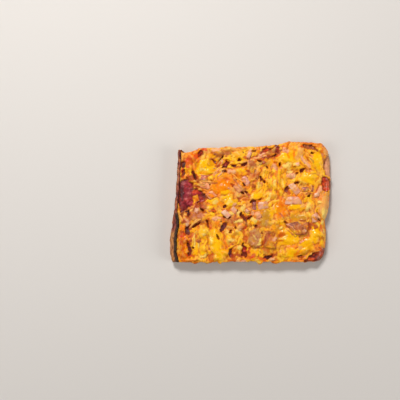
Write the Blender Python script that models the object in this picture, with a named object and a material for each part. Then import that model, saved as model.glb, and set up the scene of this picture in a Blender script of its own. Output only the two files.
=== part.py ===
"""A rectangular slice of ham pizza from a tray: two sides cut, two sides baked.

Four kinds of solid lie on each other. The crust is a slab with a thin burnt wall along
its left side and a rounded rim along its right side. The sauce runs over it from cut to
cut. The melted cheese lies over the sauce as a lumpy blanket with openings where the
sauce shows, and hangs over the cut sides in a few drips. The pieces of ham lie in
pockets of the cheese. Sizes below are in millimetres, seen from above with +X to the
right and +Y away from the viewer. The slice rests on z = 0 with its middle at x = y = 0.
"""

from typing import Callable, NamedTuple

import bmesh
import bpy
import numpy as np

MM = 0.001
SEED = 23

# Layers, from the table up
CRUST_TOP = 9.0
SAUCE_BASE = 0.3
SAUCE_DEPTH = 1.3
SAUCE_WAVES = 0.25
CHEESE_BASE = 2.3
CHEESE_DEPTH = 2.1
CHEESE_LOWEST = 0.75
RIM_FADE = 5.0
CUT_FADE = 1.6
CUT_EDGE_SHARE = 0.45
SAUCE_EDGE_SHARE = 0.45
CHEESE_EDGE_SHARE = 0.25
SAUCE_SETBACK = 0.4
SAUCE_WAVE_LENGTHS = (2.3, 4.1, 2.9, 5.3)
SAUCE_WAVE_BENDS = (1.7, 1.3)
CHEESE_OVERHANG = 0.2

# Plan: each edge is a soft line through a few points
LEFT_EDGE = (
    (-62.0, -82.0),
    (-55.0, -84.2),
    (-39.0, -84.5),
    (-30.0, -83.0),
    (-12.5, -80.8),
    (3.0, -78.8),
    (24.0, -77.2),
    (56.0, -75.6),
)
RIGHT_EDGE = (
    (-61.0, 72.5),
    (-57.0, 76.6),
    (-49.0, 78.4),
    (-34.0, 80.0),
    (-18.0, 78.4),
    (-10.0, 82.0),
    (4.0, 83.4),
    (20.0, 84.5),
    (37.0, 84.5),
    (45.0, 84.0),
    (53.5, 81.9),
    (58.8, 79.3),
    (62.0, 75.5),
)
NEAR_EDGE = ((-84.0, -61.8), (-60.0, -61.4), (0.0, -61.2), (50.0, -61.4), (77.0, -60.6))
FAR_EDGE = (
    (-75.6, 56.0),
    (-73.4, 55.0),
    (-71.6, 51.4),
    (-62.0, 53.0),
    (-55.0, 57.0),
    (-20.0, 57.7),
    (12.0, 58.8),
    (30.0, 61.0),
    (42.0, 63.6),
    (62.0, 63.0),
    (77.0, 61.8),
)
EDGE_SOFTNESS = 1.2
EDGE_SHIFTS = 5

# Ripples along the edges: wavelength and size of the longest wave
LEFT_RIPPLE = (17.0, 0.3)
RIGHT_RIPPLE = (23.0, 0.15)
NEAR_RIPPLE = (19.0, 0.35)
FAR_RIPPLE = (21.0, 0.35)
WALL_RIPPLE = (9.0, 1.1)
WALL_INNER_RIPPLE = (6.0, 0.4)
RIPPLE_WAVES = 4
RIPPLE_SHORTER = 0.61
RIPPLE_LOWER = 0.7

# The burnt wall on the left, which steps inwards where bread bulges out below it
WALL_TOP = 15.2
WALL_THICKNESS = 3.2
WALL_STEPS = (0.0, 0.35, 1.0, 2.3, WALL_THICKNESS)
WALL_DROPS = (1.6, 0.6, 0.0, 0.3)
LEDGE_WIDTH = 3.8
LEDGE_TOP = 8.2
LEDGE_RISE = 1.6
LEDGE_STARTS = -6.0
LEDGE_FULL = -20.0
WALL_GAP = 0.5

# The rounded rim on the right
RIM_RUN = 7.0
RIM_DROP = 5.4
RIM_SPARE = 0.4
RIM_STEPS = (0.0, 0.5, 1.3, 2.6, 4.4, 7.0)
LAYER_RIM_STEPS = (0.9, 1.6, 2.6, 4.4, 7.0)

# The underside's edge
BASE_ROUND = 1.5
BASE_INSET = 1.2
BASE_COLUMN_GAP = 0.2

# Grids: the layers share their rows, so that their facets match over the rim
ROWS = 32
CRUST_MIDDLE = 10
SAUCE_MIDDLE = 20
CHEESE_MIDDLE = 37
CHEESE_EDGE_STEPS = (0.0, 1.4)
FLAT_ANGLE = np.radians(0.4)
PLAN_GUESS = (-61.0, 60.0)
PLAN_ROUNDS = 4

# Melted shreds that make the cheese lumpy
LUMP_SPACING = 9.6
LUMP_LENGTH = (8.0, 18.0)
LUMP_WIDTH = (6.0, 9.0)
LUMP_HEIGHT = (0.5, 3.2)
LUMP_BLEND = 0.2
LUMP_SHIFT = 0.45
LUMP_TURN = (-35.0, 45.0)
LUMP_AREA = ((-80.0, 86.0), (-60.0, 64.0))
DOME_SPREAD = 1.5
RELIEF_SHARE = 0.8

HAM_DEPTH = 1.9
HAM_SINK = 0.5
HAM_SINK_SHARE = 0.06
HAM_CORNER_DRAW = 0.04
HAM_UNEVEN = 0.1
HAM_WAIST = 0.04
HAM_SKEW = 0.3
HAM_TILT = (0.35, 0.25)
HAM_CHAMFER = 0.45
CHAMFER_ANGLE = np.radians(50.0)
POCKET_GAP = 0.35
POCKET_FLOOR = 0.75
CUTTER_TOP = 32.0


class Form(NamedTuple):
    """A dome of cheese: its middle, its size in plan, its turn and its height."""

    x: float
    y: float
    length: float
    width: float
    turn: float
    height: float


class Opening(NamedTuple):
    """A gap in the cheese that shows the sauce: its middle, size and turn."""

    x: float
    y: float
    length: float
    width: float
    turn: float = 0.0


class Ham(NamedTuple):
    """A piece of ham: middle, length, width and turn; far side shorter by taper;
    curl bends it in plan, in degrees; arch lifts its middle."""

    x: float
    y: float
    length: float
    width: float
    turn: float = 0.0
    taper: float = 0.12
    curl: float = 0.0
    arch: float = 0.5


class Drip(NamedTuple):
    """Cheese that hangs over a cut side: where, how wide, how far out and down."""

    x: float
    near: bool
    width: float
    reach: float
    drop: float


FORMS = (
    Form(-36.0, -44.0, 31.0, 15.0, 105.0, 2.6),
    Form(-14.0, -38.0, 13.0, 12.0, 0.0, 2.0),
    Form(-50.0, -31.0, 14.0, 13.0, 40.0, 2.6),
    Form(48.0, -47.0, 30.0, 15.0, 25.0, 2.2),
    Form(66.0, -38.0, 26.0, 13.0, 55.0, 2.3),
    Form(76.0, -4.0, 30.0, 13.0, 85.0, 1.7),
    Form(15.0, -18.0, 15.0, 13.0, 60.0, 2.4),
    Form(36.0, 45.0, 22.0, 17.0, 20.0, 2.6),
    Form(68.0, 45.0, 20.0, 12.0, -65.0, 2.8),
    Form(61.0, 27.0, 18.0, 12.0, 15.0, 2.4),
    Form(-46.0, 38.0, 24.0, 16.0, -55.0, 2.5),
    Form(-28.0, 14.0, 22.0, 15.0, 10.0, 2.2),
    Form(-22.0, 0.0, 13.0, 12.0, 0.0, 2.3),
    Form(28.0, 26.0, 26.0, 8.0, 80.0, 2.4),
    Form(53.0, -22.0, 24.0, 17.0, 0.0, 3.4),
    Form(5.0, -36.0, 22.0, 14.0, 90.0, 3.0),
    Form(20.0, -39.0, 20.0, 14.0, 90.0, 2.8),
    Form(-57.0, -17.0, 16.0, 13.0, 30.0, 1.8),
    Form(-15.0, 32.0, 20.0, 12.0, 0.0, 1.9),
    Form(-70.0, -42.0, 34.0, 7.0, 88.0, 1.5),
)

OPENINGS = (
    Opening(-68.6, 8.4, 35.0, 18.6, 92.0),
    Opening(-56.0, 7.6, 19.0, 12.5, -35.0),
    Opening(-70.5, 40.0, 6.5, 5.0, 90.0),
    Opening(-59.0, 29.6, 9.4, 3.2, 112.0),
    Opening(-65.0, -12.2, 5.5, 3.6, 95.0),
    Opening(-66.4, -29.6, 9.0, 5.2, 95.0),
    Opening(-64.6, -48.2, 15.6, 3.6, 97.0),
    Opening(-25.7, 40.6, 8.4, 5.4, 60.0),
    Opening(-17.3, 39.4, 6.2, 2.6, -12.0),
    Opening(-11.6, 45.4, 3.4, 3.2, 0.0),
    Opening(-6.6, 40.2, 5.8, 2.8, 10.0),
    Opening(13.4, 24.0, 8.6, 2.3, -50.0),
    Opening(38.3, 14.2, 6.0, 4.6, 50.0),
    Opening(55.4, 34.6, 5.4, 2.8, 28.0),
    Opening(-27.8, -4.0, 3.0, 2.2, 0.0),
    Opening(-7.4, -15.6, 11.0, 2.8, -55.0),
    Opening(-28.6, -25.9, 11.6, 5.6, 55.0),
    Opening(5.2, -24.0, 3.6, 3.4, 0.0),
    Opening(79.5, 19.8, 16.5, 10.0, 100.0),
    Opening(72.0, -60.0, 38.0, 18.0, 28.0),
    Opening(-20.6, -52.4, 7.8, 4.4, 95.0),
    Opening(-6.4, -50.8, 13.6, 5.8, 97.0),
    Opening(19.4, -57.0, 9.6, 4.4, 30.0),
    Opening(17.2, 56.6, 8.0, 3.4, 12.0),
    Opening(28.6, 56.8, 9.0, 3.2, 105.0),
    Opening(61.6, 59.2, 11.0, 3.8, -12.0),
    Opening(-52.2, 52.2, 5.0, 3.6, 50.0),
)
DOUGH_PATCH = Opening(84.6, 39.0, 21.0, 15.0, 92.0)
OPENING_LOBES = 3
OPENING_UNEVEN = (0.08, 0.2)
OPENING_SIDES = 8
LONG_OPENING = 12.0
LONG_OPENING_SIDES = 12

HAM = (
    Ham(45.0, 2.6, 20.5, 8.6, 0.0, 0.4),
    Ham(46.4, 15.2, 14.2, 7.2, -50.0),
    Ham(57.0, 14.6, 8.4, 4.6, 4.0),
    Ham(64.2, 15.4, 7.2, 4.2, 84.0),
    Ham(69.6, 8.6, 6.6, 5.2, 20.0),
    Ham(-5.0, 23.4, 11.6, 6.6, -50.0, 0.2),
    Ham(-13.2, 16.4, 12.6, 7.2, -50.0),
    Ham(-48.0, 18.4, 11.4, 6.8, -8.0),
    Ham(-49.4, 26.6, 9.6, 5.6, -6.0, 0.3),
    Ham(-41.4, 8.4, 9.6, 8.2, 28.0),
    Ham(-49.6, -3.6, 9.4, 5.2, -12.0),
    Ham(-57.0, -8.0, 5.4, 4.6, 70.0),
    Ham(-25.6, -11.4, 10.6, 6.2, -45.0),
    Ham(-17.2, -7.6, 8.4, 5.2, -45.0, 0.25),
    Ham(13.4, -2.4, 11.6, 8.2, 8.0),
    Ham(8.6, -13.6, 6.2, 5.2, 80.0),
    Ham(4.0, -3.2, 9.4, 4.0, 92.0),
    Ham(-10.6, -25.0, 8.6, 6.2, 45.0),
    Ham(-3.4, -8.6, 5.6, 4.2, -30.0),
    Ham(-2.0, -21.6, 5.6, 5.0, 20.0),
    Ham(48.6, 40.4, 6.4, 4.2, 15.0),
    Ham(43.4, 28.8, 9.6, 6.0, 0.0, 0.3),
    Ham(58.4, 42.2, 14.4, 5.0, -60.0),
    Ham(52.0, 53.4, 10.4, 8.0, 80.0),
    Ham(-1.6, 50.4, 8.6, 4.2, 65.0),
    Ham(10.4, 49.6, 8.6, 4.4, 5.0, 0.7),
    Ham(36.0, 56.0, 6.2, 5.0, 80.0),
    Ham(-35.4, 53.4, 10.6, 6.0, 3.0),
    Ham(25.8, 39.0, 9.6, 3.8, -50.0),
    Ham(14.2, 42.0, 4.6, 4.2, 30.0),
    Ham(-66.0, -21.2, 6.2, 5.6, 40.0),
    Ham(51.0, -27.0, 25.0, 14.5, 184.0, 0.5, 20.0, 1.6),
    Ham(4.8, -36.4, 20.0, 12.4, 92.0, 0.1, 30.0, 1.5),
    Ham(20.8, -38.8, 18.0, 13.0, 88.0, 0.15, -20.0, 1.3),
    Ham(6.2, 30.6, 10.0, 5.6, 80.0),
    Ham(67.4, -15.6, 10.4, 6.8, 95.0, 0.2),
)
HAM_STEP = 3.2
HAM_ROWS = 2

DRIPS = (
    Drip(-57.5, True, 8.0, 2.5, 4.6),
    Drip(-44.0, True, 7.0, 1.8, 3.2),
    Drip(-32.0, True, 4.0, 2.6, 6.4),
    Drip(9.6, True, 6.0, 2.4, 4.2),
    Drip(27.0, True, 8.0, 2.3, 3.4),
    Drip(58.0, True, 5.0, 1.4, 2.6),
    Drip(-22.0, False, 9.0, 1.2, 3.6),
    Drip(44.0, False, 8.0, 0.6, 3.0),
)
DRIP_CLEAR = 0.55
DRIP_SIDES = 8
DRIP_RINGS = 5
DRIP_NARROWS = 0.5

# The tongue of cheese over each drip: wider than it, let into the blanket and raised
LIP_SPREAD = 0.8
LIP_INWARD = 1.0
LIP_LENGTH = 1.6
LIP_HALF_HEIGHT = 0.9
LIP_SINK = 0.1


def along(points: tuple, place: np.ndarray) -> np.ndarray:
    """A soft line: the mean of the straight line through points at places either side."""
    places, values = np.asarray(points).T
    shifts = EDGE_SOFTNESS * np.linspace(-1.0, 1.0, EDGE_SHIFTS)
    return np.mean([np.interp(place + shift, places, values) for shift in shifts], axis=0)


def ripple(place: np.ndarray, longest: tuple, seed: int) -> np.ndarray:
    """A sum of sine waves, each shorter and lower than the last, with seeded phases."""
    wavelength, size = longest
    draws = np.random.default_rng(seed)
    total = np.zeros_like(place)
    for number in range(RIPPLE_WAVES):
        turns = place / (wavelength * RIPPLE_SHORTER**number) + draws.uniform()
        total += size * RIPPLE_LOWER ** (number + 1) * np.sin(2 * np.pi * turns)
    return total


def left_edge(y: np.ndarray) -> np.ndarray:
    """x of the left side at each y."""
    return along(LEFT_EDGE, y) + ripple(y, LEFT_RIPPLE, SEED)


def right_edge(y: np.ndarray) -> np.ndarray:
    """x of the right side at each y."""
    return along(RIGHT_EDGE, y) + ripple(y, RIGHT_RIPPLE, SEED + 1)


def near_edge(x: np.ndarray) -> np.ndarray:
    """y of the near cut at each x."""
    return along(NEAR_EDGE, x) + ripple(x, NEAR_RIPPLE, SEED + 2)


def far_edge(x: np.ndarray) -> np.ndarray:
    """y of the far cut at each x."""
    return along(FAR_EDGE, x) + ripple(x, FAR_RIPPLE, SEED + 3)


def smooth_step(value: np.ndarray) -> np.ndarray:
    """0 below 0, 1 above 1, and 3t^2 - 2t^3 between them."""
    t = np.clip(value, 0.0, 1.0)
    return t * t * (3.0 - 2.0 * t)


def blend(least: float, share: np.ndarray) -> np.ndarray:
    """From least, where share is 0, to 1, where it is 1."""
    return least + (1.0 - least) * share


def ledge_width(y: np.ndarray) -> np.ndarray:
    """How far the bread bulges out below the burnt wall."""
    return LEDGE_WIDTH * smooth_step((LEDGE_STARTS - y) / (LEDGE_STARTS - LEDGE_FULL))


def wall_foot(y: np.ndarray) -> np.ndarray:
    """Distance from the left edge to the wall's inner foot."""
    return ledge_width(y) + WALL_THICKNESS


def over_rim(x: np.ndarray, y: np.ndarray) -> np.ndarray:
    """0 where the slab is flat, growing to 1 at the right side."""
    return 1.0 - np.clip((right_edge(y) - x) / RIM_RUN, 0.0, 1.0)


def crust_surface(x: np.ndarray, y: np.ndarray) -> np.ndarray:
    """The slab's top: flat, then a quarter of an ellipse down to the right side."""
    return CRUST_TOP - RIM_DROP * (1.0 - np.sqrt(1.0 - over_rim(x, y) ** 2))


def above_crust(x: np.ndarray, y: np.ndarray, height: float) -> np.ndarray:
    """A surface that height above the slab, and a little more over the steep rim."""
    return crust_surface(x, y) + height + RIM_SPARE * over_rim(x, y) ** 2


def dome_heights(forms: tuple, x: np.ndarray, y: np.ndarray) -> np.ndarray:
    """Squared-cosine domes joined by a soft maximum, the log of summed exponentials."""
    table = np.asarray(forms)
    east, north, length, width, turn, height = (column[:, None] for column in table.T)
    angle = np.radians(turn)
    dx = x.reshape(1, -1) - east
    dy = y.reshape(1, -1) - north
    run = (dx * np.cos(angle) + dy * np.sin(angle)) / (0.5 * length)
    side = (dy * np.cos(angle) - dx * np.sin(angle)) / (0.5 * width)
    reach = np.clip(np.hypot(run, side) / DOME_SPREAD, 0.0, 1.0)
    domes = height * np.cos(0.5 * np.pi * reach) ** 2
    total = LUMP_BLEND * np.log1p(np.sum(np.expm1(domes / LUMP_BLEND), axis=0))
    return total.reshape(x.shape)


def scattered_lumps() -> tuple:
    """Small domes on a jittered grid, each with a seeded size and turn."""
    draws = np.random.default_rng(SEED)
    lumps = []
    for east in np.arange(*LUMP_AREA[0], LUMP_SPACING):
        for north in np.arange(*LUMP_AREA[1], LUMP_SPACING):
            shift = LUMP_SPACING * draws.uniform(-LUMP_SHIFT, LUMP_SHIFT, 2)
            length = draws.uniform(*LUMP_LENGTH)
            width = draws.uniform(*LUMP_WIDTH)
            turn = draws.normal(*LUMP_TURN)
            height = draws.uniform(*LUMP_HEIGHT)
            lumps.append(Form(east + shift[0], north + shift[1], length, width, turn, height))
    return tuple(lumps)


LUMPS = scattered_lumps()


def side_fade(x: np.ndarray, y: np.ndarray) -> np.ndarray:
    """0 at the slice's sides, 1 inside: over a few millimetres at the two baked sides,
    and over a narrow rounded edge at the two cut ones."""
    baked = np.minimum(x - left_edge(y) - wall_foot(y), right_edge(y) - x)
    cut = np.minimum(y - near_edge(x), far_edge(x) - y) + CHEESE_OVERHANG
    return smooth_step(baked / RIM_FADE) * blend(CUT_EDGE_SHARE, smooth_step(cut / CUT_FADE))


def sauce_top(x: np.ndarray, y: np.ndarray) -> np.ndarray:
    """The sauce's surface: low waves crossing each other, and thinner at the baked sides."""
    across, across_bend, along_slice, along_bend = SAUCE_WAVE_LENGTHS
    first = np.sin(x / across + SAUCE_WAVE_BENDS[0] * np.sin(y / across_bend))
    second = np.sin(y / along_slice + SAUCE_WAVE_BENDS[1] * np.sin(x / along_bend))
    fade = blend(SAUCE_EDGE_SHARE, side_fade(x, y))
    return above_crust(x, y, SAUCE_BASE) + (SAUCE_DEPTH + SAUCE_WAVES * first * second) * fade


def cheese_floor(x: np.ndarray, y: np.ndarray) -> np.ndarray:
    """The cheese's underside, clear of the sauce."""
    return above_crust(x, y, CHEESE_BASE)


def cheese_top(x: np.ndarray, y: np.ndarray) -> np.ndarray:
    """The cheese's surface: a blanket with large forms and shreds, lower at its sides."""
    relief = RELIEF_SHARE * (dome_heights(FORMS, x, y) + dome_heights(LUMPS, x, y))
    fade = blend(CHEESE_EDGE_SHARE, side_fade(x, y))
    return cheese_floor(x, y) + CHEESE_LOWEST + (CHEESE_DEPTH - CHEESE_LOWEST + relief) * fade


def plan_grid(left: Callable, right: Callable, overhang: float, columns: tuple) -> tuple:
    """Plan positions of a grid between four edges.

    columns holds the distances in from the left side, the number of columns between and
    the distances in from the right side. Each point's x depends on its y and the other
    way round, so both are worked out a few times over.
    """
    from_left, middle, from_right = columns
    v = np.linspace(0.0, 1.0, ROWS + 1)[:, None]
    first_guess = PLAN_GUESS[0] + (PLAN_GUESS[1] - PLAN_GUESS[0]) * v
    y = np.repeat(first_guess, len(from_left) + middle + len(from_right), axis=1)
    for _ in range(PLAN_ROUNDS):
        first = [left(y[:, 0]) + step for step in from_left]
        last = [right(y[:, -1]) - step for step in reversed(from_right)]
        between = np.linspace(0.0, 1.0, middle + 2)[1:-1]
        inner = [first[-1] + t * (last[0] - first[-1]) for t in between]
        x = np.stack(first + inner + last, axis=1)
        y = near_edge(x) - overhang + (far_edge(x) - near_edge(x) + 2 * overhang) * v
    return x, y


def new_object(name: str, mesh_data: bmesh.types.BMesh, collection: bpy.types.Collection) -> bpy.types.Object:
    """Makes a mesh object in metres from a bmesh in millimetres, with normals outwards."""
    bmesh.ops.recalc_face_normals(mesh_data, faces=mesh_data.faces)
    bmesh.ops.scale(mesh_data, vec=(MM, MM, MM), verts=mesh_data.verts)
    mesh = bpy.data.meshes.new(name)
    mesh_data.to_mesh(mesh)
    mesh_data.free()
    thing = bpy.data.objects.new(name, mesh)
    collection.objects.link(thing)
    return thing


def sheet(x: np.ndarray, y: np.ndarray, top: np.ndarray, levels: list) -> bmesh.types.BMesh:
    """A solid under a grid: the grid is lifted to top, then drawn down level by level.

    Each level is (x, y, z), whole arrays of the grid's shape. Flat stretches of the last
    level are merged into large faces.
    """
    rows, columns = x.shape
    solid = bmesh.new()
    made = bmesh.ops.create_grid(solid, x_segments=columns - 1, y_segments=rows - 1, size=0.5)
    place = {}
    for vert in made["verts"]:
        key = (round((vert.co.y + 0.5) * (rows - 1)), round((vert.co.x + 0.5) * (columns - 1)))
        place[vert] = key
        vert.co = (x[key], y[key], top[key])
    faces = solid.faces[:]
    for number, level in enumerate(levels):
        grid = {tuple(np.round(vert.co, 5)): place[vert] for face in faces for vert in face.verts}
        drawn = bmesh.ops.extrude_face_region(solid, geom=faces)["geom"]
        if number:
            bmesh.ops.delete(solid, geom=faces, context="FACES")
        faces = [item for item in drawn if isinstance(item, bmesh.types.BMFace)]
        for vert in (item for item in drawn if isinstance(item, bmesh.types.BMVert)):
            place[vert] = grid[tuple(np.round(vert.co, 5))]
        for vert in (item for item in drawn if isinstance(item, bmesh.types.BMVert)):
            vert.co = [float(values[place[vert]]) for values in level]
    bmesh.ops.recalc_face_normals(solid, faces=solid.faces)
    edges = {edge for face in faces for edge in face.edges}
    corners = {vert for face in faces for vert in face.verts}
    bmesh.ops.dissolve_limit(solid, angle_limit=FLAT_ANGLE, verts=list(corners), edges=list(edges))
    return solid


def material(name: str, colour: tuple, roughness: float) -> bpy.types.Material:
    """A plain Principled material."""
    made = bpy.data.materials.new(name)
    made.use_nodes = True
    shader = made.node_tree.nodes["Principled BSDF"]
    shader.inputs["Base Color"].default_value = (*colour, 1.0)
    shader.inputs["Roughness"].default_value = roughness
    shader.inputs["Metallic"].default_value = 0.0
    return made


def crust(collection: bpy.types.Collection) -> bpy.types.Object:
    """The slab with its burnt wall, ledge and rounded rim, on a narrower flat underside."""
    x, y = plan_grid(left_edge, right_edge, 0.0, (WALL_STEPS, CRUST_MIDDLE, RIM_STEPS))
    top = crust_surface(x, y)
    outer, outer_lip, crest, inner_lip, foot = range(len(WALL_STEPS))
    side = y[:, outer]
    ledge = ledge_width(side)
    for column in range(outer_lip, foot + 1):
        x[:, column] = left_edge(y[:, column]) + ledge + WALL_STEPS[column]
    height = WALL_TOP + ripple(side, WALL_RIPPLE, SEED + 4)
    for column in range(foot):
        top[:, column] = height - WALL_DROPS[column]
    top[:, inner_lip] += ripple(side, WALL_INNER_RIPPLE, SEED + 5)
    bulge = ledge / LEDGE_WIDTH
    top[:, outer] += bulge * (LEDGE_TOP - top[:, outer])
    top[:, outer_lip] += bulge * (LEDGE_TOP + LEDGE_RISE - top[:, outer_lip])
    base_x = x.copy()
    base_x[:, outer] += BASE_INSET
    for column in range(outer_lip, foot + 1):
        base_x[:, column] = np.maximum(x[:, column], base_x[:, column - 1] + BASE_COLUMN_GAP)
    base_x[:, -1] -= BASE_INSET
    base_x[:, -2] = np.minimum(x[:, -2], base_x[:, -1] - BASE_COLUMN_GAP)
    levels = [(x, y, np.full_like(x, BASE_ROUND)), (base_x, y, np.zeros_like(x))]
    thing = new_object("crust", sheet(x, y, top, levels), collection)
    thing.data.materials.append(material("baked crust", (0.58, 0.30, 0.12), 0.85))
    return thing


def layer_left(y: np.ndarray) -> np.ndarray:
    """Where sauce and cheese begin, just clear of the burnt wall."""
    return left_edge(y) + wall_foot(y) + WALL_GAP


def sauce(collection: bpy.types.Collection) -> bpy.types.Object:
    """The tomato sauce, from the wall to the rim and from cut to cut."""
    columns = ((0.0,), SAUCE_MIDDLE, LAYER_RIM_STEPS)
    x, y = plan_grid(layer_left, right_edge, -SAUCE_SETBACK, columns)
    under = (x, y, above_crust(x, y, SAUCE_BASE))
    thing = new_object("sauce", sheet(x, y, sauce_top(x, y), [under]), collection)
    thing.data.materials.append(material("tomato sauce", (0.26, 0.03, 0.025), 0.35))
    return thing


def prism(
    name: str, outline: np.ndarray, floor: float, collection: bpy.types.Collection
) -> bpy.types.Object:
    """A cutter that stands on floor with the given plan outline."""
    solid = bmesh.new()
    ring = bmesh.ops.create_circle(solid, cap_ends=True, segments=len(outline), radius=1.0)["verts"]
    for vert, (east, north) in zip(ring, outline):
        vert.co = (east, north, floor)
    lifted = bmesh.ops.extrude_face_region(solid, geom=solid.faces[:])["geom"]
    for vert in (item for item in lifted if isinstance(item, bmesh.types.BMVert)):
        vert.co.z = CUTTER_TOP
    return new_object(name, solid, collection)


def opening_outline(gap: Opening, seed: int) -> np.ndarray:
    """An ellipse whose radius swells and shrinks a few times along its way round."""
    sides = OPENING_SIDES if gap.length < LONG_OPENING else LONG_OPENING_SIDES
    turns = np.linspace(0.0, 2 * np.pi, sides, endpoint=False)
    draws = np.random.default_rng(seed)
    phase = draws.uniform(0.0, 6.0)
    uneven = 1.0 + draws.uniform(*OPENING_UNEVEN) * np.sin(OPENING_LOBES * turns + phase)
    run = 0.5 * gap.length * np.cos(turns) * uneven
    side = 0.5 * gap.width * np.sin(turns) * uneven
    angle = np.radians(gap.turn)
    east = gap.x + run * np.cos(angle) - side * np.sin(angle)
    north = gap.y + run * np.sin(angle) + side * np.cos(angle)
    return np.stack([east, north], axis=1)


def ham_grid(piece: Ham, grow: float, seed: int) -> tuple:
    """Plan position and rise of a ham piece's grid.

    The piece is a skewed rectangle with its far side shorter and its corners uneven.
    Its middle line is bent to an arc of curl degrees, and its middle is raised.
    """
    columns = max(2, round(piece.length / HAM_STEP))
    draws = np.random.default_rng(seed)
    u = np.linspace(-1.0, 1.0, columns + 1)[None, :]
    v = np.linspace(-1.0, 1.0, HAM_ROWS + 1)[:, None]
    uneven = draws.uniform(0, 1, (HAM_ROWS + 1, columns + 1))
    corner = 1.0 - HAM_CORNER_DRAW * u**4 * v**2 - HAM_UNEVEN * uneven
    half_length = 0.5 * piece.length * (1.0 - piece.taper * 0.5 * (1.0 + v)) * corner + grow
    half_width = 0.5 * piece.width * (1.0 - HAM_WAIST * u**2) * corner + grow
    run = u * half_length
    side = v * half_width * np.ones_like(u)
    run = run + HAM_SKEW * draws.uniform(-1.0, 1.0) * side
    if piece.curl:
        radius = piece.length / np.radians(piece.curl)
        angle = run / radius
        run, side = (radius - side) * np.sin(angle), radius - (radius - side) * np.cos(angle)
        side = side - 0.5 * radius * (1.0 - np.cos(np.radians(piece.curl) / 2))
    turn = np.radians(piece.turn)
    east = piece.x + run * np.cos(turn) - side * np.sin(turn)
    north = piece.y + run * np.sin(turn) + side * np.cos(turn)
    rise = piece.arch * (1.0 - 0.5 * (u**2 + v**2))
    rise += HAM_TILT[0] * draws.uniform(-1.0, 1.0) * u + HAM_TILT[1] * draws.uniform(-1.0, 1.0) * v
    return east, north, rise


def ham_base(piece: Ham) -> float:
    """Height of the ham's underside: sunk into the cheese, but not down to the sauce."""
    spot = (np.array([piece.x]), np.array([piece.y]))
    floor = cheese_floor(*spot)[0] + POCKET_FLOOR + POCKET_GAP
    return max(floor, cheese_top(*spot)[0] - HAM_SINK - HAM_SINK_SHARE * piece.length)


def ham_piece(number: int, piece: Ham, collection: bpy.types.Collection) -> bpy.types.Object:
    """One piece of ham: a flat base, an arched top and a chamfer round the top."""
    east, north, rise = ham_grid(piece, 0.0, SEED + number)
    base = ham_base(piece)
    solid = sheet(east, north, base + HAM_DEPTH + rise, [(east, north, np.full_like(east, base))])
    bmesh.ops.recalc_face_normals(solid, faces=solid.faces)
    middle = base + 0.5 * HAM_DEPTH
    rim = [
        edge
        for edge in solid.edges
        if edge.calc_face_angle(0.0) > CHAMFER_ANGLE and min(vert.co.z for vert in edge.verts) > middle
    ]
    bmesh.ops.bevel(solid, geom=rim, offset=HAM_CHAMFER, segments=1, affect="EDGES", profile=0.5)
    return new_object(f"ham_{number:02d}", solid, collection)


def pocket(number: int, piece: Ham, collection: bpy.types.Collection) -> bpy.types.Object:
    """The cutter for a ham piece's place: its outline grown all round and drawn upwards."""
    east, north, _ = ham_grid(piece, POCKET_GAP, SEED + number)
    plan = np.stack([east, north], axis=2)
    outline = np.concatenate([plan[0, :-1], plan[:-1, -1], plan[-1, :0:-1], plan[:0:-1, 0]])
    return prism(f"pocket_{number:02d}", outline, ham_base(piece) - POCKET_GAP, collection)


def drip(number: int, piece: Drip, collection: bpy.types.Collection) -> bpy.types.Object:
    """A drop of cheese outside a cut side, wide at its top and round at its foot."""
    solid = bmesh.new()
    made = bmesh.ops.create_uvsphere(solid, u_segments=DRIP_SIDES, v_segments=DRIP_RINGS, radius=1.0)
    spot = np.array([piece.x])
    edge = near_edge(spot)[0] if piece.near else far_edge(spot)[0]
    outward = -1.0 if piece.near else 1.0
    top = CRUST_TOP + CHEESE_BASE + CHEESE_LOWEST
    for vert in made["verts"]:
        across, out, up = vert.co
        level = 0.5 * (1.0 - up)
        width = 0.5 * piece.width * (1.0 - DRIP_NARROWS * level)
        vert.co.x = piece.x + across * width
        vert.co.y = edge + outward * (DRIP_CLEAR + 0.5 * piece.reach * (1.0 + out))
        vert.co.z = top - piece.drop * level
    return new_object(f"drip_{number}", solid, collection)


def lip(number: int, piece: Drip, collection: bpy.types.Collection) -> bpy.types.Object:
    """The tongue of cheese that carries a drip over the edge of the slice."""
    spot = np.array([piece.x])
    edge = near_edge(spot)[0] if piece.near else far_edge(spot)[0]
    outward = -1.0 if piece.near else 1.0
    floor = CRUST_TOP + CHEESE_BASE - LIP_SINK
    middle = 0.5 * (DRIP_CLEAR + piece.reach) - LIP_INWARD
    solid = bmesh.new()
    made = bmesh.ops.create_uvsphere(solid, u_segments=DRIP_SIDES, v_segments=DRIP_RINGS, radius=1.0)
    for vert in made["verts"]:
        across, out, up = vert.co
        vert.co.x = piece.x + across * (0.5 * piece.width + LIP_SPREAD)
        vert.co.y = edge + outward * (middle + out * (0.5 * piece.reach + LIP_LENGTH))
        vert.co.z = floor + LIP_HALF_HEIGHT * (1.0 + up)
    return new_object(f"lip_{number}", solid, collection)


def settle(thing: bpy.types.Object) -> None:
    """Applies an object's modifiers to its mesh and drops all but its largest body."""
    bpy.context.view_layer.update()
    graph = bpy.context.evaluated_depsgraph_get()
    mesh = bpy.data.meshes.new_from_object(thing.evaluated_get(graph))
    thing.modifiers.clear()
    thing.data = mesh
    solid = bmesh.new()
    solid.from_mesh(mesh)
    waiting = set(solid.verts)
    bodies = []
    while waiting:
        body = {waiting.pop()}
        front = list(body)
        while front:
            vert = front.pop()
            near = {edge.other_vert(vert) for edge in vert.link_edges} - body
            body |= near
            front.extend(near)
        waiting -= body
        bodies.append(body)
    bodies.sort(key=len)
    for body in bodies[:-1]:
        bmesh.ops.delete(solid, geom=list(body), context="VERTS")
    solid.to_mesh(mesh)
    solid.free()


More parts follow.
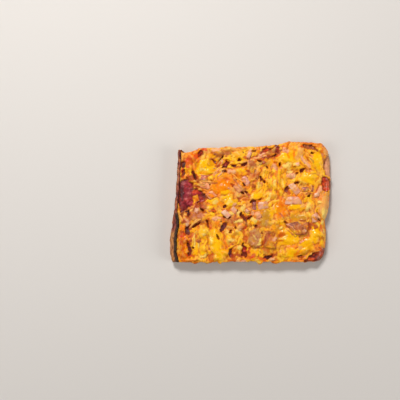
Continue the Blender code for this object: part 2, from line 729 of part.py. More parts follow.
def boolean(thing: bpy.types.Object, name: str, operation: str, cutters: bpy.types.Collection) -> None:
    """Adds an exact Boolean with every object of a collection."""
    modifier = thing.modifiers.new(name, "BOOLEAN")
    modifier.operation = operation
    modifier.operand_type = "COLLECTION"
    modifier.collection = cutters
    modifier.solver = "EXACT"


def cheese(
    collection: bpy.types.Collection, added: bpy.types.Collection, cut: bpy.types.Collection
) -> bpy.types.Object:
    """The cheese blanket with its drips, openings and ham pockets."""
    columns = (CHEESE_EDGE_STEPS, CHEESE_MIDDLE, LAYER_RIM_STEPS)
    x, y = plan_grid(layer_left, right_edge, CHEESE_OVERHANG, columns)
    under = (x, y, cheese_floor(x, y))
    thing = new_object("cheese", sheet(x, y, cheese_top(x, y), [under]), collection)
    for number, piece in enumerate(DRIPS, start=1):
        drip(number, piece, added)
        lip(number, piece, added)
    boolean(thing, "drips", "UNION", added)
    boolean(thing, "gaps", "DIFFERENCE", cut)
    settle(thing)
    thing.data.materials.append(material("melted cheese", (0.80, 0.36, 0.04), 0.4))
    return thing


def helper_collection(name: str) -> bpy.types.Collection:
    """A collection for shapes that only help to make others, left out of renders."""
    made = bpy.data.collections.new(name)
    bpy.context.scene.collection.children.link(made)
    made.hide_render = True
    return made


def main() -> None:
    """Clears the scene and builds the slice's layers in one collection."""
    for thing in list(bpy.data.objects):
        bpy.data.objects.remove(thing, do_unlink=True)
    slice_parts = bpy.data.collections.new("ham pizza slice")
    bpy.context.scene.collection.children.link(slice_parts)
    added = helper_collection("added shapes")
    cut = helper_collection("cutters")
    crust(slice_parts)
    sauce_layer = sauce(slice_parts)
    ham_material = material("cooked ham", (0.70, 0.30, 0.22), 0.5)
    for number, piece in enumerate(HAM, start=1):
        ham_piece(number, piece, slice_parts).data.materials.append(ham_material)
        pocket(number, piece, cut)
    for number, gap in enumerate(OPENINGS, start=1):
        prism(f"opening_{number:02d}", opening_outline(gap, SEED + number), 0.0, cut)
    prism("dough_patch", opening_outline(DOUGH_PATCH, SEED), 0.0, cut)
    cheese(slice_parts, added, cut)
    patch = sauce_layer.modifiers.new("dough patch", "BOOLEAN")
    patch.object = bpy.data.objects["dough_patch"]
    settle(sauce_layer)
    for helpers in (added, cut):
        for thing in list(helpers.objects):
            bpy.data.objects.remove(thing, do_unlink=True)
        bpy.data.collections.remove(helpers)


main()
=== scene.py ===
"""The looks of a rectangular slice of ham pizza, cut from a tray.

The slice is built in the frame of its solids: +X to the right, +Y away from the viewer,
+Z up, with its underside on z = 0. All lengths are in millimetres until a mesh is made.
Reliefs and colours are worked out on a square raster over the slice, and each layer's
mesh reads them from there.
"""

import logging
from dataclasses import dataclass, field
from enum import Enum
from functools import cache
from typing import Iterator, NamedTuple

import bpy
import numpy as np
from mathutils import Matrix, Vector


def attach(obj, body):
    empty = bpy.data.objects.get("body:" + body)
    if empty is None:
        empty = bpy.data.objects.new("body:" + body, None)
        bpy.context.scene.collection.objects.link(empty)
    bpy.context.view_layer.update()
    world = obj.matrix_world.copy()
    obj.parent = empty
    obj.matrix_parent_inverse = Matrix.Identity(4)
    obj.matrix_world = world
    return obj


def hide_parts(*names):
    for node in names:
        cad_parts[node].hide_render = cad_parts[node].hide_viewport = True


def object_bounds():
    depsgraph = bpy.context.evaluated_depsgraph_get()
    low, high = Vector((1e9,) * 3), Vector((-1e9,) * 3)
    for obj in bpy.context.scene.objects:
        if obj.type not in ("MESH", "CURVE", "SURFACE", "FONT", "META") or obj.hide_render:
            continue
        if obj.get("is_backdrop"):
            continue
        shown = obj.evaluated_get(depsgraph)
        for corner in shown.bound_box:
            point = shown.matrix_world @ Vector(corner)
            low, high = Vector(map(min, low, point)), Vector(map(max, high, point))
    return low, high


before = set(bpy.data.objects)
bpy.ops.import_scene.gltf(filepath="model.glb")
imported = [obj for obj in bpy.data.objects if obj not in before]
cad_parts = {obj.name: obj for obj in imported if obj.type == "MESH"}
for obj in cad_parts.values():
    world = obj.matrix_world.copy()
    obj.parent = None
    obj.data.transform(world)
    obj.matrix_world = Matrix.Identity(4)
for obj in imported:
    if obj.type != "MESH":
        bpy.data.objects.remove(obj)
CAD_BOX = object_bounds()

log = logging.getLogger("ham_pizza_slice")

MM = 0.001
SEED = 23

Array = np.ndarray

# The reference view: 400 x 400 pixels, straight from above
PIXEL = 1.05
PIXEL_MIDDLE = (250.5, 203.0)
VIEW_CENTRE = (200.0, 200.0)
VIEW_PIXELS = 400


def ease(value: Array) -> Array:
    """0 below 0, 1 above 1, and 3t^2 - 2t^3 between them."""
    t = np.clip(value, 0, 1)
    return t * t * (3.0 - 2.0 * t)


def lerp(start: Array, end: Array, share: Array) -> Array:
    """The straight mix of start and end: start + (end - start) * share."""
    return start + (end - start) * share


def linear(levels: tuple) -> Array:
    """Linear light of sRGB levels from 0 to 255."""
    share = np.asarray(levels) / 255.0
    return np.where(share <= 0.04045, share / 12.92, ((share + 0.055) / 1.055) ** 2.4)


def seeded(number: int) -> np.random.Generator:
    """The random draws with the given number."""
    return np.random.default_rng(SEED + number)


def noise(x: Array, y: Array, wavelength: float, seed: int, octaves: int = 1) -> Array:
    """A smooth random field from about -1 to 1 at any places.

    Random values stand on a square lattice of the given wavelength and are joined by
    3t^2 - 2t^3 ramps. Each further octave is half as long, half as strong and turned.
    """
    size, origin = 64, 500.0
    total = np.zeros(np.broadcast(x, y).shape)
    for octave in range(octaves):
        values = seeded(seed + 101 * octave).uniform(-1.0, 1.0, (size, size))
        angle = 0.6 + 1.1 * octave
        scale = 2.0**octave / wavelength
        u = (x * np.cos(angle) - y * np.sin(angle)) * scale + origin
        v = (x * np.sin(angle) + y * np.cos(angle)) * scale + origin
        i, j = np.floor(u).astype(int), np.floor(v).astype(int)
        s, t = ease(u - i), ease(v - j)
        first, second = i % size, (i + 1) % size
        low, high = (lerp(values[first, n % size], values[second, n % size], s) for n in (j, j + 1))
        total += lerp(low, high, t) * 0.5**octave
    return total


def pits(u: Array, v: Array, spacing: float, seed: int, fullness: float) -> Array:
    """Round dents on a jittered lattice: 1 - (distance / radius)^2 inside a dent, else 0.

    Args:
        u, v: places along two directions of a surface.
        spacing: lattice spacing.
        seed: number of the pattern.
        fullness: largest radius, as a share of the spacing.
    """
    size = 64
    draws = seeded(seed).uniform(size=(3, size, size))
    i, j = np.floor(u / spacing).astype(int), np.floor(v / spacing).astype(int)
    deepest = np.zeros(np.broadcast(u, v).shape)
    for di in (-1, 0, 1):
        for dj in (-1, 0, 1):
            cell = ((i + di) % size, (j + dj) % size)
            du = u / spacing - (i + di + draws[0][cell])
            dv = v / spacing - (j + dj + draws[1][cell])
            radius = fullness * (0.25 + 0.75 * draws[2][cell] ** 2)
            deepest = np.maximum(deepest, 1.0 - (du**2 + dv**2) / radius**2)
    return deepest


class Tone(Enum):
    """The colours of the food, in sRGB from 0 to 255."""

    YELLOW = (255, 186, 6)
    GOLD = (248, 166, 14)
    ORANGE = (242, 128, 4)
    CREASE = (204, 92, 14)
    PALE = (243, 202, 98)
    BLUSH = (236, 166, 122)
    TAN = (234, 164, 78)
    OLIVE = (200, 136, 36)
    AMBER = (222, 146, 6)
    TOAST = (182, 98, 50)
    EMBER = (214, 74, 18)
    RUST = (138, 48, 26)
    RUSSET = (164, 62, 18)
    SOOT = (62, 30, 18)
    WINE = (144, 38, 46)
    CRIMSON = (164, 40, 40)
    BRICK = (176, 52, 26)
    PLUM = (92, 36, 38)
    ROSE = (184, 92, 88)
    CHAR = (54, 44, 36)
    MAUVE = (158, 84, 66)
    CRUMB = (226, 184, 128)
    BREAD = (196, 130, 74)
    BAKED = (146, 86, 42)
    HERB = (70, 78, 30)
    FAT = (232, 182, 146)

    @property
    def rgb(self) -> Array:
        """The colour as linear light."""
        return linear(self.value)


class Cure(Enum):
    """How a piece of ham looks: its face and its edge, in sRGB from 0 to 255."""

    ROSY = ((218, 140, 116), (176, 92, 66))
    PALE = ((226, 162, 128), (204, 118, 78))
    PEACH = ((236, 154, 104), (204, 104, 52))
    GREYED = ((206, 150, 122), (150, 92, 60))
    MAUVE = ((172, 92, 80), (112, 46, 38))
    TOASTED = ((188, 100, 46), (112, 44, 20))
    SMOKY = ((186, 126, 86), (124, 64, 38))
    CREAMY = ((236, 186, 116), (216, 140, 62))
    EMBER = ((206, 100, 56), (150, 52, 26))

    @property
    def face(self) -> Array:
        """The face's colour as linear light."""
        return linear(self.value[0])

    @property
    def edge(self) -> Array:
        """The edge's colour as linear light."""
        return linear(self.value[1])


def tinge(colour: Array, end: object, share: Array) -> Array:
    """Colours moved towards a tone, or towards other colours, by a share for each place."""
    return lerp(colour, end.rgb if isinstance(end, Tone) else end, share[..., None])


class Form(NamedTuple):
    """A dome in millimetres: middle, size in plan, turn in degrees, height, and bend of its axis."""

    x: float
    y: float
    length: float
    width: float
    turn: float = 0.0
    height: float = 0.0
    bend: float = 0.0


class Spot(NamedTuple):
    """An oval seen in the reference view: middle, length and width in its pixels, and turn."""

    column: float
    row: float
    length: float
    width: float
    turn: float = 0.0

    def form(self, height: float = 0.0) -> Form:
        """The same oval in millimetres in the slice's own frame."""
        x = (self.column - PIXEL_MIDDLE[0]) * PIXEL
        y = (PIXEL_MIDDLE[1] - self.row) * PIXEL
        return Form(x, y, self.length * PIXEL, self.width * PIXEL, self.turn, height)


def ovals(spots: tuple, height: float = 0.0) -> tuple:
    """The forms of many spots, all of one height."""
    return tuple(Spot(*spot).form(height) for spot in spots)


# ---- plan and layers


@dataclass(frozen=True)
class Plan:
    """The outline and the layers of the slice, with the same named sizes as its solids."""

    left_points: tuple = (
        (-62.0, -82.0), (-55.0, -84.2), (-39.0, -84.5), (-30.0, -83.0),
        (-12.5, -80.8), (3.0, -78.8), (24.0, -77.2), (56.0, -75.6),
    )
    right_points: tuple = (
        (-61.0, 72.5), (-57.0, 76.6), (-49.0, 78.4), (-34.0, 80.0), (-18.0, 78.4),
        (-10.0, 82.0), (4.0, 83.4), (20.0, 84.5), (37.0, 84.5), (45.0, 84.0),
        (53.5, 81.9), (58.8, 79.3), (62.0, 75.5),
    )
    near_points: tuple = ((-84.0, -61.8), (-60.0, -61.4), (0.0, -61.2), (50.0, -61.4), (77.0, -60.6))
    far_points: tuple = (
        (-75.6, 56.0), (-73.4, 55.0), (-71.6, 51.4), (-62.0, 53.0), (-55.0, 57.0), (-20.0, 57.7),
        (12.0, 58.8), (30.0, 61.0), (42.0, 63.6), (62.0, 63.0), (77.0, 61.8),
    )
    edge_softness: float = 1.2
    left_ripple: tuple = (17.0, 0.3)
    right_ripple: tuple = (23.0, 0.15)
    near_ripple: tuple = (19.0, 0.35)
    far_ripple: tuple = (21.0, 0.35)
    ripple_waves: int = 4
    ripple_shorter: float = 0.61
    ripple_lower: float = 0.7
    crust_top: float = 9.0
    rim_run: float = 7.0
    rim_drop: float = 5.4
    rim_spare: float = 0.4
    rim_fade: float = 5.0
    cut_fade: float = 1.6
    cut_share: float = 0.45
    overhang: float = 0.2
    wall_thickness: float = 3.2
    ledge_full_width: float = 3.8
    ledge_starts: float = -6.0
    ledge_full: float = -20.0
    first_rows: tuple = (-61.0, 60.0)

    def along(self, points: tuple, place: Array) -> Array:
        """A soft line: the mean of the straight line through points at places either side."""
        places, values = np.asarray(points).T
        shifts = self.edge_softness * np.linspace(-1.0, 1.0, 5)
        return np.mean([np.interp(place + shift, places, values) for shift in shifts], axis=0)

    def ripple(self, place: Array, longest: tuple, seed: int) -> Array:
        """A sum of sine waves, each shorter and lower than the last, with seeded phases."""
        wavelength, size = longest
        draws = seeded(seed)
        total = np.zeros_like(place)
        for number in range(self.ripple_waves):
            turns = place / (wavelength * self.ripple_shorter**number) + draws.uniform()
            total += size * self.ripple_lower ** (number + 1) * np.sin(2 * np.pi * turns)
        return total

    def left(self, y: Array) -> Array:
        """x of the left side at each y."""
        return self.along(self.left_points, y) + self.ripple(y, self.left_ripple, 0)

    def right(self, y: Array) -> Array:
        """x of the right side at each y."""
        return self.along(self.right_points, y) + self.ripple(y, self.right_ripple, 1)

    def near(self, x: Array) -> Array:
        """y of the near cut at each x."""
        return self.along(self.near_points, x) + self.ripple(x, self.near_ripple, 2)

    def far(self, x: Array) -> Array:
        """y of the far cut at each x."""
        return self.along(self.far_points, x) + self.ripple(x, self.far_ripple, 3)

    def ledge(self, y: Array) -> Array:
        """How far the bread bulges out below the burnt wall."""
        grown = (self.ledge_starts - y) / (self.ledge_starts - self.ledge_full)
        return self.ledge_full_width * ease(grown)

    def inside_wall(self, y: Array) -> Array:
        """x of the wall's inner foot, where sauce and cheese begin."""
        return self.left(y) + self.ledge(y) + self.wall_thickness

    def over_rim(self, x: Array, y: Array) -> Array:
        """0 where the slab is flat, growing to 1 at the right side."""
        return 1.0 - np.clip((self.right(y) - x) / self.rim_run, 0, 1)

    def crust_surface(self, x: Array, y: Array) -> Array:
        """The slab's top: flat, then a quarter of an ellipse down to the right side."""
        return self.crust_top - self.rim_drop * (1.0 - np.sqrt(1.0 - self.over_rim(x, y) ** 2))

    def above_crust(self, x: Array, y: Array) -> Array:
        """The surface that layers are measured from, a little higher over the steep rim."""
        return self.crust_surface(x, y) + self.rim_spare * self.over_rim(x, y) ** 2

    def side_fade(self, x: Array, y: Array) -> Array:
        """0 at the slice's sides and 1 inside them, over a narrower edge at the cuts."""
        baked = np.minimum(x - self.inside_wall(y), self.right(y) - x)
        cut = np.minimum(y - self.near(x), self.far(x) - y) + self.overhang
        beside_cut = lerp(self.cut_share, 1.0, ease(cut / self.cut_fade))
        return ease(baked / self.rim_fade) * beside_cut

    def grid(self, left: object, overhang: float, columns: tuple, rows: int) -> tuple:
        """Plan positions of a grid between four edges.

        Args:
            left: function from y to x of the grid's left side.
            overhang: how far the grid reaches beyond the two cuts.
            columns: numbers of columns on the left side, between, and over the rim, where
                they lie closer together towards the right side.
            rows: number of rows of cells.

        Returns:
            x and y of the grid's points, each (rows + 1, columns).
        """
        at_left, between, on_rim = columns
        v = np.linspace(0.0, 1.0, rows + 1)[:, None]
        y = np.repeat(lerp(*self.first_rows, v), sum(columns), axis=1)
        share = np.linspace(0.0, 1.0, between + 2)[1:-1]
        from_right = self.rim_run * (1.0 - np.sin(np.linspace(0.0, 0.5 * np.pi, on_rim)))
        # The sides wave, so x and y are worked out from each other in turn
        for _ in range(4):
            first = np.repeat(left(y[:, :1]), at_left, axis=1)
            last = self.right(y[:, -1:]) - from_right
            inner = first[:, -1:] + share * (last[:, :1] - first[:, -1:])
            x = np.concatenate([first, inner, last], axis=1)
            y = self.near(x) - overhang + (self.far(x) - self.near(x) + 2 * overhang) * v
        return x, y


PLAN = Plan()


# ---- raster


@dataclass
class Raster:
    """A square raster over the slice on which reliefs and colours are worked out."""

    step: float = 0.5
    half_x: float = 92.0
    half_y: float = 70.0
    xs: Array = field(init=False)
    ys: Array = field(init=False)
    x: Array = field(init=False)
    y: Array = field(init=False)
    warp: tuple = field(init=False)
    fray: Array = field(init=False)

    def __post_init__(self) -> None:
        """Lays out the raster, and random shifts and a fraying for uneven outlines."""
        self.xs = np.arange(-self.half_x, self.half_x + self.step, self.step)
        self.ys = np.arange(-self.half_y, self.half_y + self.step, self.step)
        self.x, self.y = np.meshgrid(self.xs, self.ys)
        self.warp = tuple(self.grain(5.5, 40 + n) + 0.6 * self.grain(2.1, 42 + n) for n in range(2))
        self.fray = 0.4 * self.grain(2.6, 46, 3)

    def grain(self, wavelength: float, seed: int, octaves: int = 1) -> Array:
        """Noise over the whole raster."""
        return noise(self.x, self.y, wavelength, seed, octaves)

    def window(self, form: Form, reach: float) -> tuple:
        """Row and column slices of the square around a form, reach times its half length."""
        size = 0.5 * reach * max(form.length, form.width) + 2.0
        columns = np.searchsorted(self.xs, (form.x - size, form.x + size))
        rows = np.searchsorted(self.ys, (form.y - size, form.y + size))
        return slice(*rows), slice(*columns)

    def oval(self, form: Form, at: tuple, warped: float = 0.0) -> Array:
        """Distance from a form's middle in half sizes: 1 on its outline, which warped shakes."""
        angle = np.radians(form.turn)
        dx = self.x[at] + warped * self.warp[0][at] - form.x
        dy = self.y[at] + warped * self.warp[1][at] - form.y
        run = (dx * np.cos(angle) + dy * np.sin(angle)) / (0.5 * form.length)
        side = (dy * np.cos(angle) - dx * np.sin(angle)) / (0.5 * form.width)
        return np.hypot(run, side + form.bend * (run**2 - 0.5))

    def pile(self, forms: tuple, softness: float, spread: float = 1.5) -> Array:
        """Squared-cosine domes joined by a soft maximum, the log of summed exponentials."""
        total = np.zeros_like(self.x)
        for form in forms:
            at = self.window(form, spread)
            reach = np.clip(self.oval(form, at) / spread, 0, 1)
            total[at] += np.expm1(form.height * np.cos(0.5 * np.pi * reach) ** 2 / softness)
        return softness * np.log1p(total)

    def pillow(self, form: Form, at: tuple, warped: float) -> Array:
        """One steep-sided flat-topped lump: height * (1 - r^3)^0.6."""
        reach = np.clip(self.oval(form, at, warped), 0, 1)
        return form.height * (1.0 - reach**3) ** 0.6

    def pillows(self, forms: tuple, softness: float, warped: float) -> Array:
        """Steep-sided flat-topped lumps joined by a soft maximum."""
        total = np.zeros_like(self.x)
        for form in forms:
            at = self.window(form, 1.5)
            total[at] += np.expm1(self.pillow(form, at, warped) / softness)
        return softness * np.log1p(total)

    def patchwork(self, forms: tuple, warped: float) -> tuple:
        """Overlapping flat-topped lumps, the highest on top at each place.

        Returns:
            Height, and the number of the lump on top, or the count of lumps where none is.
        """
        height = np.zeros_like(self.x)
        owner = np.full(self.x.shape, len(forms))
        for number, form in enumerate(forms):
            at = self.window(form, 1.5)
            lump = self.pillow(form, at, warped)
            owner[at] = np.where(lump > height[at], number, owner[at])
            height[at] = np.maximum(height[at], lump)
        return height, owner

    def cover(self, forms: tuple, softness: float) -> Array:
        """1 inside any of the forms, 0 outside, with soft uneven outlines."""
        total = np.zeros_like(self.x)
        for form in forms:
            at = self.window(form, 1.6)
            inside = ease((1.0 + 0.5 * softness - self.oval(form, at, 1.0)) / softness)
            total[at] = np.maximum(total[at], inside)
        return total

    def paint(self, colour: Array, layers: tuple, strength: float) -> Array:
        """Lays ovals of tones over a colour, in order, each with a soft uneven outline."""
        painted = np.array(np.broadcast_to(colour, (*self.x.shape, 3)))
        for tone, spots in layers:
            for form in ovals(spots):
                at = self.window(form, 1.7)
                share = ease((1.2 - self.oval(form, at, 1.0) - self.fray[at]) / 0.5)
                painted[at] = tinge(painted[at], tone, strength * share)
        return painted

    def soften(self, values: Array, radius: float) -> Array:
        """A field blurred by three running means of the given radius along each direction."""
        cells = max(1, round(radius / self.step))
        width = 2 * cells + 1
        for _ in range(6):
            summed = np.cumsum(np.pad(values, ((cells + 1, cells), (0, 0)), mode="edge"), axis=0)
            values = ((summed[width:] - summed[:-width]) / width).T
        return values

    def read(self, values: Array, x: Array, y: Array) -> Array:
        """A field's values at any places, bilinear between the raster's points."""
        u = np.clip((x + self.half_x) / self.step, 0, len(self.xs) - 1.001)
        v = np.clip((y + self.half_y) / self.step, 0, len(self.ys) - 1.001)
        i, j = u.astype(int), v.astype(int)
        s, t = u - i, v - j
        if values.ndim == 3:
            s, t = s[..., None], t[..., None]
        low, high = (lerp(values[row, i], values[row, i + 1], s) for row in (j, j + 1))
        return lerp(low, high, t)


# ---- meshes


def make_object(name: str, points: Array, faces: list, tones: Array) -> bpy.types.Object:
    """Makes a smooth mesh object at the origin.

    Args:
        name: the piece's name.
        points: places in millimetres, (count, 3).
        faces: arrays of point numbers, (faces, 3) or (faces, 4).
        tones: linear colour and wetness of each point, (count, 4).
    """
    mesh = bpy.data.meshes.new(name)
    mesh.vertices.add(len(points))
    mesh.vertices.foreach_set("co", (points * MM).astype(np.float32).ravel())
    corners = np.concatenate([part.ravel() for part in faces])
    sizes = np.concatenate([np.full(len(part), part.shape[1]) for part in faces])
    mesh.loops.add(len(corners))
    mesh.loops.foreach_set("vertex_index", corners.astype(np.int32))
    mesh.polygons.add(len(sizes))
    mesh.polygons.foreach_set("loop_start", (np.cumsum(sizes) - sizes).astype(np.int32))
    mesh.update(calc_edges=True)
    mesh.validate()
    mesh.shade_smooth()
    layer = mesh.color_attributes.new("tone", "FLOAT_COLOR", "POINT")
    layer.data.foreach_set("color", tones.astype(np.float32).ravel())
    thing = bpy.data.objects.new(name, mesh)
    bpy.context.scene.collection.objects.link(thing)
    return thing


@dataclass
class Shell:
    """A closed mesh: a cap, rings that lead down round its side and under it, and a last point.

    The cap is a grid, whose border is the first ring, or a single point above the rings.
    Each tone holds linear red, green and blue and the wetness.
    """

    cap: Array
    cap_tone: Array
    rings: list = field(default_factory=list)
    ring_tones: list = field(default_factory=list)

    def numbers(self) -> Array:
        """Point numbers of the cap's grid."""
        return np.arange(self.cap[..., 0].size).reshape(self.cap.shape[:2])

    def border(self) -> Array:
        """Point numbers round the cap's border, anticlockwise from above."""
        number = self.numbers()
        return np.concatenate([number[0], number[1:, -1], number[-1, -2::-1], number[-2:0:-1, 0]])

    def edge(self) -> tuple:
        """Places, outward unit vectors in plan, and tones of the cap's border."""
        at = self.border()
        ring = self.cap.reshape(-1, 3)[at]
        tangent = np.roll(ring, -1, axis=0)[:, :2] - np.roll(ring, 1, axis=0)[:, :2]
        normal = np.stack([tangent[:, 1], -tangent[:, 0]], axis=1)
        normal /= np.maximum(np.linalg.norm(normal, axis=1, keepdims=True), 1e-9)
        return ring, normal, self.cap_tone.reshape(-1, 4)[at]

    def add(self, points: Array, tones: Array) -> None:
        """Adds a ring below the last one."""
        self.rings.append(points)
        self.ring_tones.append(np.broadcast_to(tones, (len(points), 4)))

    def draw_in(self, shares: tuple, level: float, tones: Array) -> None:
        """Adds rings that draw in from the last one, at a level above the crust."""
        place = self.rings[-1][:, :2]
        for share in shares:
            x, y = (place * share).T
            self.add(np.stack([x, y, PLAN.above_crust(x, y) + level], axis=1), tones)

    def build(self, name: str, foot: tuple) -> bpy.types.Object:
        """Closes the shell at foot and makes the object."""
        faces, last = [], None
        if self.cap.ndim == 3:
            number, last = self.numbers(), self.border()
            quads = (number[:-1, :-1], number[:-1, 1:], number[1:, 1:], number[1:, :-1])
            faces.append(np.stack(quads, axis=-1).reshape(-1, 4))
        start = self.cap[..., 0].size
        for ring in self.rings:
            here = np.arange(start, start + len(ring))
            if last is None:
                faces.append(np.stack([np.zeros_like(here), here, np.roll(here, -1)], axis=1))
            else:
                faces.append(np.stack([last, here, np.roll(here, -1), np.roll(last, -1)], axis=1))
            last = here
            start += len(ring)
        faces.append(np.stack([last, np.full_like(last, start), np.roll(last, -1)], axis=1))
        points = np.concatenate([self.cap.reshape(-1, 3), *self.rings, np.reshape(foot, (1, 3))])
        tones = np.concatenate([self.cap_tone.reshape(-1, 4), *self.ring_tones, self.ring_tones[-1][:1]])
        return make_object(name, points, faces, tones)


def shifted(ring: Array, normal: Array, out: Array, z: Array) -> Array:
    """A ring moved out along its normals in plan and put at new heights."""
    return np.column_stack([ring[:, :2] + normal * np.reshape(out, (-1, 1)), z])


def with_wetness(colour: Array, wetness: Array) -> Array:
    """Colours with the wetness as a fourth value."""
    wet = np.broadcast_to(wetness, colour.shape[:-1])
    return np.concatenate([colour, wet[..., None]], axis=-1)


# ---- materials


def feed(tree: bpy.types.NodeTree, node: bpy.types.Node, values: dict) -> None:
    """Fills a node's inputs by name or number: sockets are linked, and numbers are set."""
    for name, value in values.items():
        if isinstance(value, bpy.types.NodeSocket):
            tree.links.new(value, node.inputs[name])
        else:
            node.inputs[name].default_value = value


def add_node(tree: bpy.types.NodeTree, kind: str, values: dict, **settings: object) -> bpy.types.Node:
    """Adds a shader node: values feed its inputs, and settings are its own properties."""
    made = tree.nodes.new(f"ShaderNode{kind}")
    for name, value in settings.items():
        setattr(made, name, value)
    feed(tree, made, values)
    return made


class Effect:
    """A node group in the making, with short ways to its usual nodes."""

    def __init__(self, name: str, result: str, *values: str) -> None:
        """Starts the group. Sockets named Colour hold colours, and all others hold numbers."""
        self.tree = bpy.data.node_groups.new(name, "ShaderNodeTree")
        for direction, sockets in (("INPUT", values), ("OUTPUT", (result,))):
            for socket in sockets:
                kind = "NodeSocketColor" if socket == "Colour" else "NodeSocketFloat"
                self.tree.interface.new_socket(socket, in_out=direction, socket_type=kind)
        self.given = self.tree.nodes.new("NodeGroupInput").outputs
        self.result = self.tree.nodes.new("NodeGroupOutput").inputs[result]

    def noise(self, scale: object, detail: float, roughness: float) -> bpy.types.NodeSocket:
        """A noise on Object coordinates, about 0.5 in the mean."""
        place = add_node(self.tree, "TexCoord", {}).outputs["Object"]
        values = {"Vector": place, "Scale": scale, "Detail": detail, "Roughness": roughness}
        return add_node(self.tree, "TexNoise", values).outputs["Fac"]

    def math(self, operation: str, first: object, second: object) -> bpy.types.NodeSocket:
        """A Math node on two sockets or numbers."""
        return add_node(self.tree, "Math", {0: first, 1: second}, operation=operation).outputs["Value"]

    def swing(self, middle: object, source: object, amount: object) -> bpy.types.NodeSocket:
        """middle + (source - 0.5) * amount."""
        return self.math("ADD", self.math("MULTIPLY", self.math("SUBTRACT", source, 0.5), amount), middle)

    def mix(self, start: object, end: object, share: object) -> bpy.types.NodeSocket:
        """start + (end - start) * share."""
        return self.math("ADD", start, self.math("MULTIPLY", self.math("SUBTRACT", end, start), share))

    def finish(self, source: bpy.types.NodeSocket) -> bpy.types.NodeTree:
        """Links the result and hands the group over."""
        self.tree.links.new(source, self.result)
        return self.tree


@cache
def uneven_colour() -> bpy.types.NodeTree:
    """A colour whose lightness and hue wander around its own."""
    effect = Effect("uneven colour", "Colour", "Colour", "Scale", "Amount", "Hue Shift")
    given = effect.given
    fine = effect.noise(given["Scale"], 4.0, 0.6)
    wide = effect.noise(effect.math("MULTIPLY", given["Scale"], 0.37), 2.0, 0.5)
    return effect.finish(add_node(effect.tree, "HueSaturation", {
        "Color": given["Colour"],
        "Value": effect.swing(1.0, fine, given["Amount"]),
        "Hue": effect.swing(0.5, wide, given["Hue Shift"]),
    }).outputs["Color"])


@cache
def wet_film() -> bpy.types.NodeTree:
    """Roughness between Dry and Wet by the wetness, broken up by a noise."""
    effect = Effect("wet film", "Roughness", "Wetness", "Scale", "Dry", "Wet")
    given = effect.given
    patch = effect.noise(given["Scale"], 3.0, 0.55)
    share = add_node(effect.tree, "Clamp", {"Value": effect.swing(given["Wetness"], patch, 1.6)})
    return effect.finish(effect.mix(given["Dry"], given["Wet"], share.outputs["Result"]))


@cache
def fine_relief() -> bpy.types.NodeTree:
    """A height made of a coarse and a fine noise, mixed by Balance and levelled by Film."""
    effect = Effect("fine relief", "Height", "Coarse", "Fine", "Balance", "Film")
    given = effect.given
    coarse = effect.noise(given["Coarse"], 3.0, 0.5)
    fine = effect.noise(given["Fine"], 3.0, 0.6)
    left = effect.math("SUBTRACT", 1.0, effect.math("MULTIPLY", given["Film"], 0.85))
    return effect.finish(effect.math("MULTIPLY", effect.mix(coarse, fine, given["Balance"]), left))


@dataclass(frozen=True)
class Finish:
    """A food's surface: how its colour wanders, how wet it is and how fine its relief is.

    Scales are in cycles per metre. The relief's depth and the scatter's scale are in millimetres.
    """

    name: str
    colour_scale: float
    colour_amount: float
    hue_shift: float
    dry: float
    wet: float
    film_scale: float
    coarse: float
    fine: float
    balance: float
    depth: float
    specular: float = 0.5
    scatter: float = 0.0
    scatter_radius: tuple = (1.0, 0.35, 0.1)
    scatter_scale: float = 1.5

    def build(self) -> bpy.types.Material:
        """Makes the material: the tone attribute through the shared effects to the shader."""
        made = bpy.data.materials.new(self.name)
        made.use_nodes = True
        tree = made.node_tree
        tone = add_node(tree, "Attribute", {}, attribute_name="tone").outputs
        colour = add_node(tree, "Group", {
            "Colour": tone["Color"], "Scale": self.colour_scale,
            "Amount": self.colour_amount, "Hue Shift": self.hue_shift,
        }, node_tree=uneven_colour())
        film = add_node(tree, "Group", {
            "Wetness": tone["Alpha"], "Scale": self.film_scale, "Dry": self.dry, "Wet": self.wet,
        }, node_tree=wet_film())
        relief = add_node(tree, "Group", {
            "Coarse": self.coarse, "Fine": self.fine, "Balance": self.balance, "Film": tone["Alpha"],
        }, node_tree=fine_relief())
        bump = add_node(tree, "Bump", {
            "Strength": 1.0, "Distance": self.depth * MM, "Height": relief.outputs["Height"],
        })
        feed(tree, tree.nodes["Principled BSDF"], {
            "Base Color": colour.outputs["Colour"],
            "Roughness": film.outputs["Roughness"],
            "Normal": bump.outputs["Normal"],
            "Specular IOR Level": self.specular,
            "Subsurface Weight": self.scatter,
            "Subsurface Radius": self.scatter_radius,
            "Subsurface Scale": self.scatter_scale * MM,
        })
        return made


CHEESE_FINISH = Finish(
    "melted cheese", colour_scale=900.0, colour_amount=0.35, hue_shift=0.05, dry=0.5, wet=0.13,
    film_scale=160.0, coarse=520.0, fine=1900.0, balance=0.35, depth=0.6, specular=0.2, scatter=0.08,
)
SAUCE_FINISH = Finish(
    "tomato sauce", colour_scale=700.0, colour_amount=0.6, hue_shift=0.03, dry=0.45, wet=0.12,
    film_scale=240.0, coarse=500.0, fine=1900.0, balance=0.35, depth=0.6,
)
CRUST_FINISH = Finish(
    "baked crust", colour_scale=800.0, colour_amount=0.45, hue_shift=0.03, dry=0.9, wet=0.5,
    film_scale=260.0, coarse=700.0, fine=2400.0, balance=0.5, depth=0.5, specular=0.25,
)
HAM_FINISH = Finish(
    "cooked ham", colour_scale=700.0, colour_amount=0.35, hue_shift=0.04, dry=0.5, wet=0.2,
    film_scale=220.0, coarse=900.0, fine=2400.0, balance=0.4, depth=0.35, scatter=0.08,
)
HERB_FINISH = Finish(
    "dried herb", colour_scale=1500.0, colour_amount=0.5, hue_shift=0.05, dry=0.8, wet=0.5,
    film_scale=400.0, coarse=1500.0, fine=3000.0, balance=0.5, depth=0.2,
)


